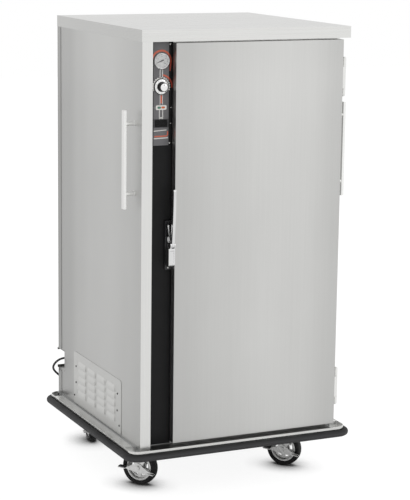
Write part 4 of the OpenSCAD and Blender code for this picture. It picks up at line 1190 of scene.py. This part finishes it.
class WARMER_OT_shelves(bpy.types.Operator):
    """Makes the chromed wire shelves: round rods, with the thin wires welded on top"""

    bl_idname = "warmer.shelves"
    bl_label = "Wire shelves"
    wires: IntProperty(name="Wires", description="Thin wires on each shelf", default=19)
    count: IntProperty(name="Shelves", description="Number of shelves", default=5)

    def execute(self, context):
        low, high = body_box("shelves")
        radius, wire = 4.0, 2.6
        x0, x1 = low[0] + radius, high[0] - radius
        y0, y1 = low[1] + radius, high[1] - radius
        z0, z1 = low[2] + radius, high[2] - radius
        grids = []
        for z in np.linspace(z0, z1, self.count):
            grids += [rod((x, y0 - radius, z), (x, y1 + radius, z), radius, 16) for x in (x0, x1)]
            grids += [rod((x0, y, z), (x1, y, z), radius, 16) for y in (y0, y1)]
            for x in np.linspace(x0, x1, self.wires + 2)[1:-1]:
                grids.append(rod((x, y0 - 2, z + 1.3), (x, y1 + 2, z + 1.3), wire, 10, 0.8))
            for y in (y0 + (y1 - y0) / 3, y0 + 2 * (y1 - y0) / 3):
                grids.append(rod((x0, y, z - 0.8), (x1, y, z - 0.8), radius - 0.8, 12))
        chrome = polished_stainless("bright chrome wire", "#D6D7D8", 0.1)
        piece = shell("wire_shelves", grids, chrome, "cabinet", 40)
        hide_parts("shelves")
        return {"FINISHED"}


class WARMER_OT_studio(bpy.types.Operator):
    """Lays the pale floor, and sets the even light and two soft lamps"""

    bl_idname = "warmer.studio"
    bl_label = "Studio"

    def execute(self, context):
        studio = context.scene.warmer_studio
        self.floor()
        world = bpy.data.worlds.new("even studio light")
        world.use_nodes = True
        tree = world.node_tree
        tree.nodes.clear()
        rays = add(tree, "ShaderNodeLightPath").outputs
        shows = rays["Is Camera Ray"]
        for kind in ("Is Glossy Ray", "Is Transmission Ray"):
            either = add(tree, "ShaderNodeMath", {0: shows, 1: rays[kind]}, operation="MAXIMUM")
            shows = either.outputs[0]
        # a strength of 1 is white
        strength = spread(tree, shows, 0, 1, studio.ambient, 1.0)
        light = add(tree, "ShaderNodeBackground", {"Color": (1, 1, 1, 1), "Strength": strength})
        add(tree, "ShaderNodeOutputWorld", {"Surface": light.outputs[0]})
        context.scene.world = world
        self.lamp("soft key", (3.2, -4.2, 4.0), (0.2, 0, 0.9), 2.6, 26)
        self.lamp("soft fill", (-4.5, -3.0, 3.2), (0, 0, 0.9), 3.0, 8)
        context.scene.view_settings.view_transform = "Standard"
        return {"FINISHED"}

    def floor(self):
        """A white sheet of 30 m that keeps the object's shadow. The camera sees it glowing white, so
        the wide shadow is faint; ambient occlusion dims that glow close under the casters and the cord,
        a painted contact shadow. Reflections see it white."""
        material, tree, _ = start_material("white paper sweep")
        rays = add(tree, "ShaderNodeLightPath").outputs
        painted_contact_shade = add(tree, "ShaderNodeAmbientOcclusion", {"Distance": 0.11}).outputs["AO"]
        seen = times(tree, rays["Is Camera Ray"], spread(tree, painted_contact_shade, 0.42, 0.97, 0.0, 0.9))
        mirrored = spread(tree, rays["Is Glossy Ray"], 0, 1, 0, 0.1)
        shade = spread(tree, rays["Is Camera Ray"], 0, 1, 0.9, 0.2)
        paper = add(tree, "ShaderNodeBsdfDiffuse", {"Color": shade})
        strength = add(tree, "ShaderNodeMath", {0: seen, 1: mirrored}, operation="ADD")
        glow = add(tree, "ShaderNodeEmission", {"Color": (1, 1, 1, 1), "Strength": strength.outputs[0]})
        both = add(tree, "ShaderNodeAddShader", {0: paper.outputs[0], 1: glow.outputs[0]})
        end_material(tree, both)
        mesh = bpy.data.meshes.new("floor")
        reach = 15
        corners = [(-reach, -reach, 0), (reach, -reach, 0), (reach, reach, 0), (-reach, reach, 0)]
        mesh.from_pydata(corners, [], [(0, 1, 2, 3)])
        mesh.materials.append(material)
        sheet = bpy.data.objects.new("floor", mesh)
        bpy.context.scene.collection.objects.link(sheet)

    def lamp(self, name, spot, target, size, watts):
        """A square area lamp that is turned towards a point."""
        data = bpy.data.lights.new(name, "AREA")
        data.shape, data.size, data.energy = "SQUARE", size, watts
        lamp = bpy.data.objects.new(name, data)
        bpy.context.scene.collection.objects.link(lamp)
        lamp.location = spot
        lamp.rotation_euler = (Vector(target) - Vector(spot)).to_track_quat("-Z", "Y").to_euler()


class WARMER_PT_sidebar(bpy.types.Panel):
    """Lists the cabinet's steps in the sidebar"""

    bl_idname = "WARMER_PT_sidebar"
    bl_label = "Plate warmer"
    bl_space_type = "VIEW_3D"
    bl_region_type = "UI"
    bl_category = "Plate warmer"

    def draw(self, context):
        for group in (context.scene.warmer_steel, context.scene.warmer_label, context.scene.warmer_cord,
                      context.scene.warmer_studio):
            for name in group.bl_rna.properties.keys():
                if name not in ("rna_type", "name"):
                    self.layout.prop(group, name)
        for step in STEPS:
            self.layout.operator(step.bl_idname)


GROUPS = {
    "warmer_steel": WarmerSteel,
    "warmer_label": WarmerLabel,
    "warmer_cord": WarmerCord,
    "warmer_studio": WarmerStudio,
}
STEPS = (
    WARMER_OT_camera,
    WARMER_OT_cord,
    WARMER_OT_sheets,
    WARMER_OT_vent,
    WARMER_OT_controls,
    WARMER_OT_fasteners,
    WARMER_OT_casters,
    WARMER_OT_shelves,
    WARMER_OT_studio,
)


def register():
    for group in GROUPS.values():
        bpy.utils.register_class(group)
    for step in (*STEPS, WARMER_PT_sidebar):
        bpy.utils.register_class(step)
    for name, group in GROUPS.items():
        setattr(bpy.types.Scene, name, PointerProperty(type=group))


def unregister():
    for name in GROUPS:
        delattr(bpy.types.Scene, name)
    for step in (WARMER_PT_sidebar, *reversed(STEPS)):
        bpy.utils.unregister_class(step)
    for group in reversed(GROUPS.values()):
        bpy.utils.unregister_class(group)


def main():
    register()
    for step in STEPS:
        group, name = step.bl_idname.split(".")
        getattr(getattr(bpy.ops, group), name)()


if __name__ == "__main__":
    main()
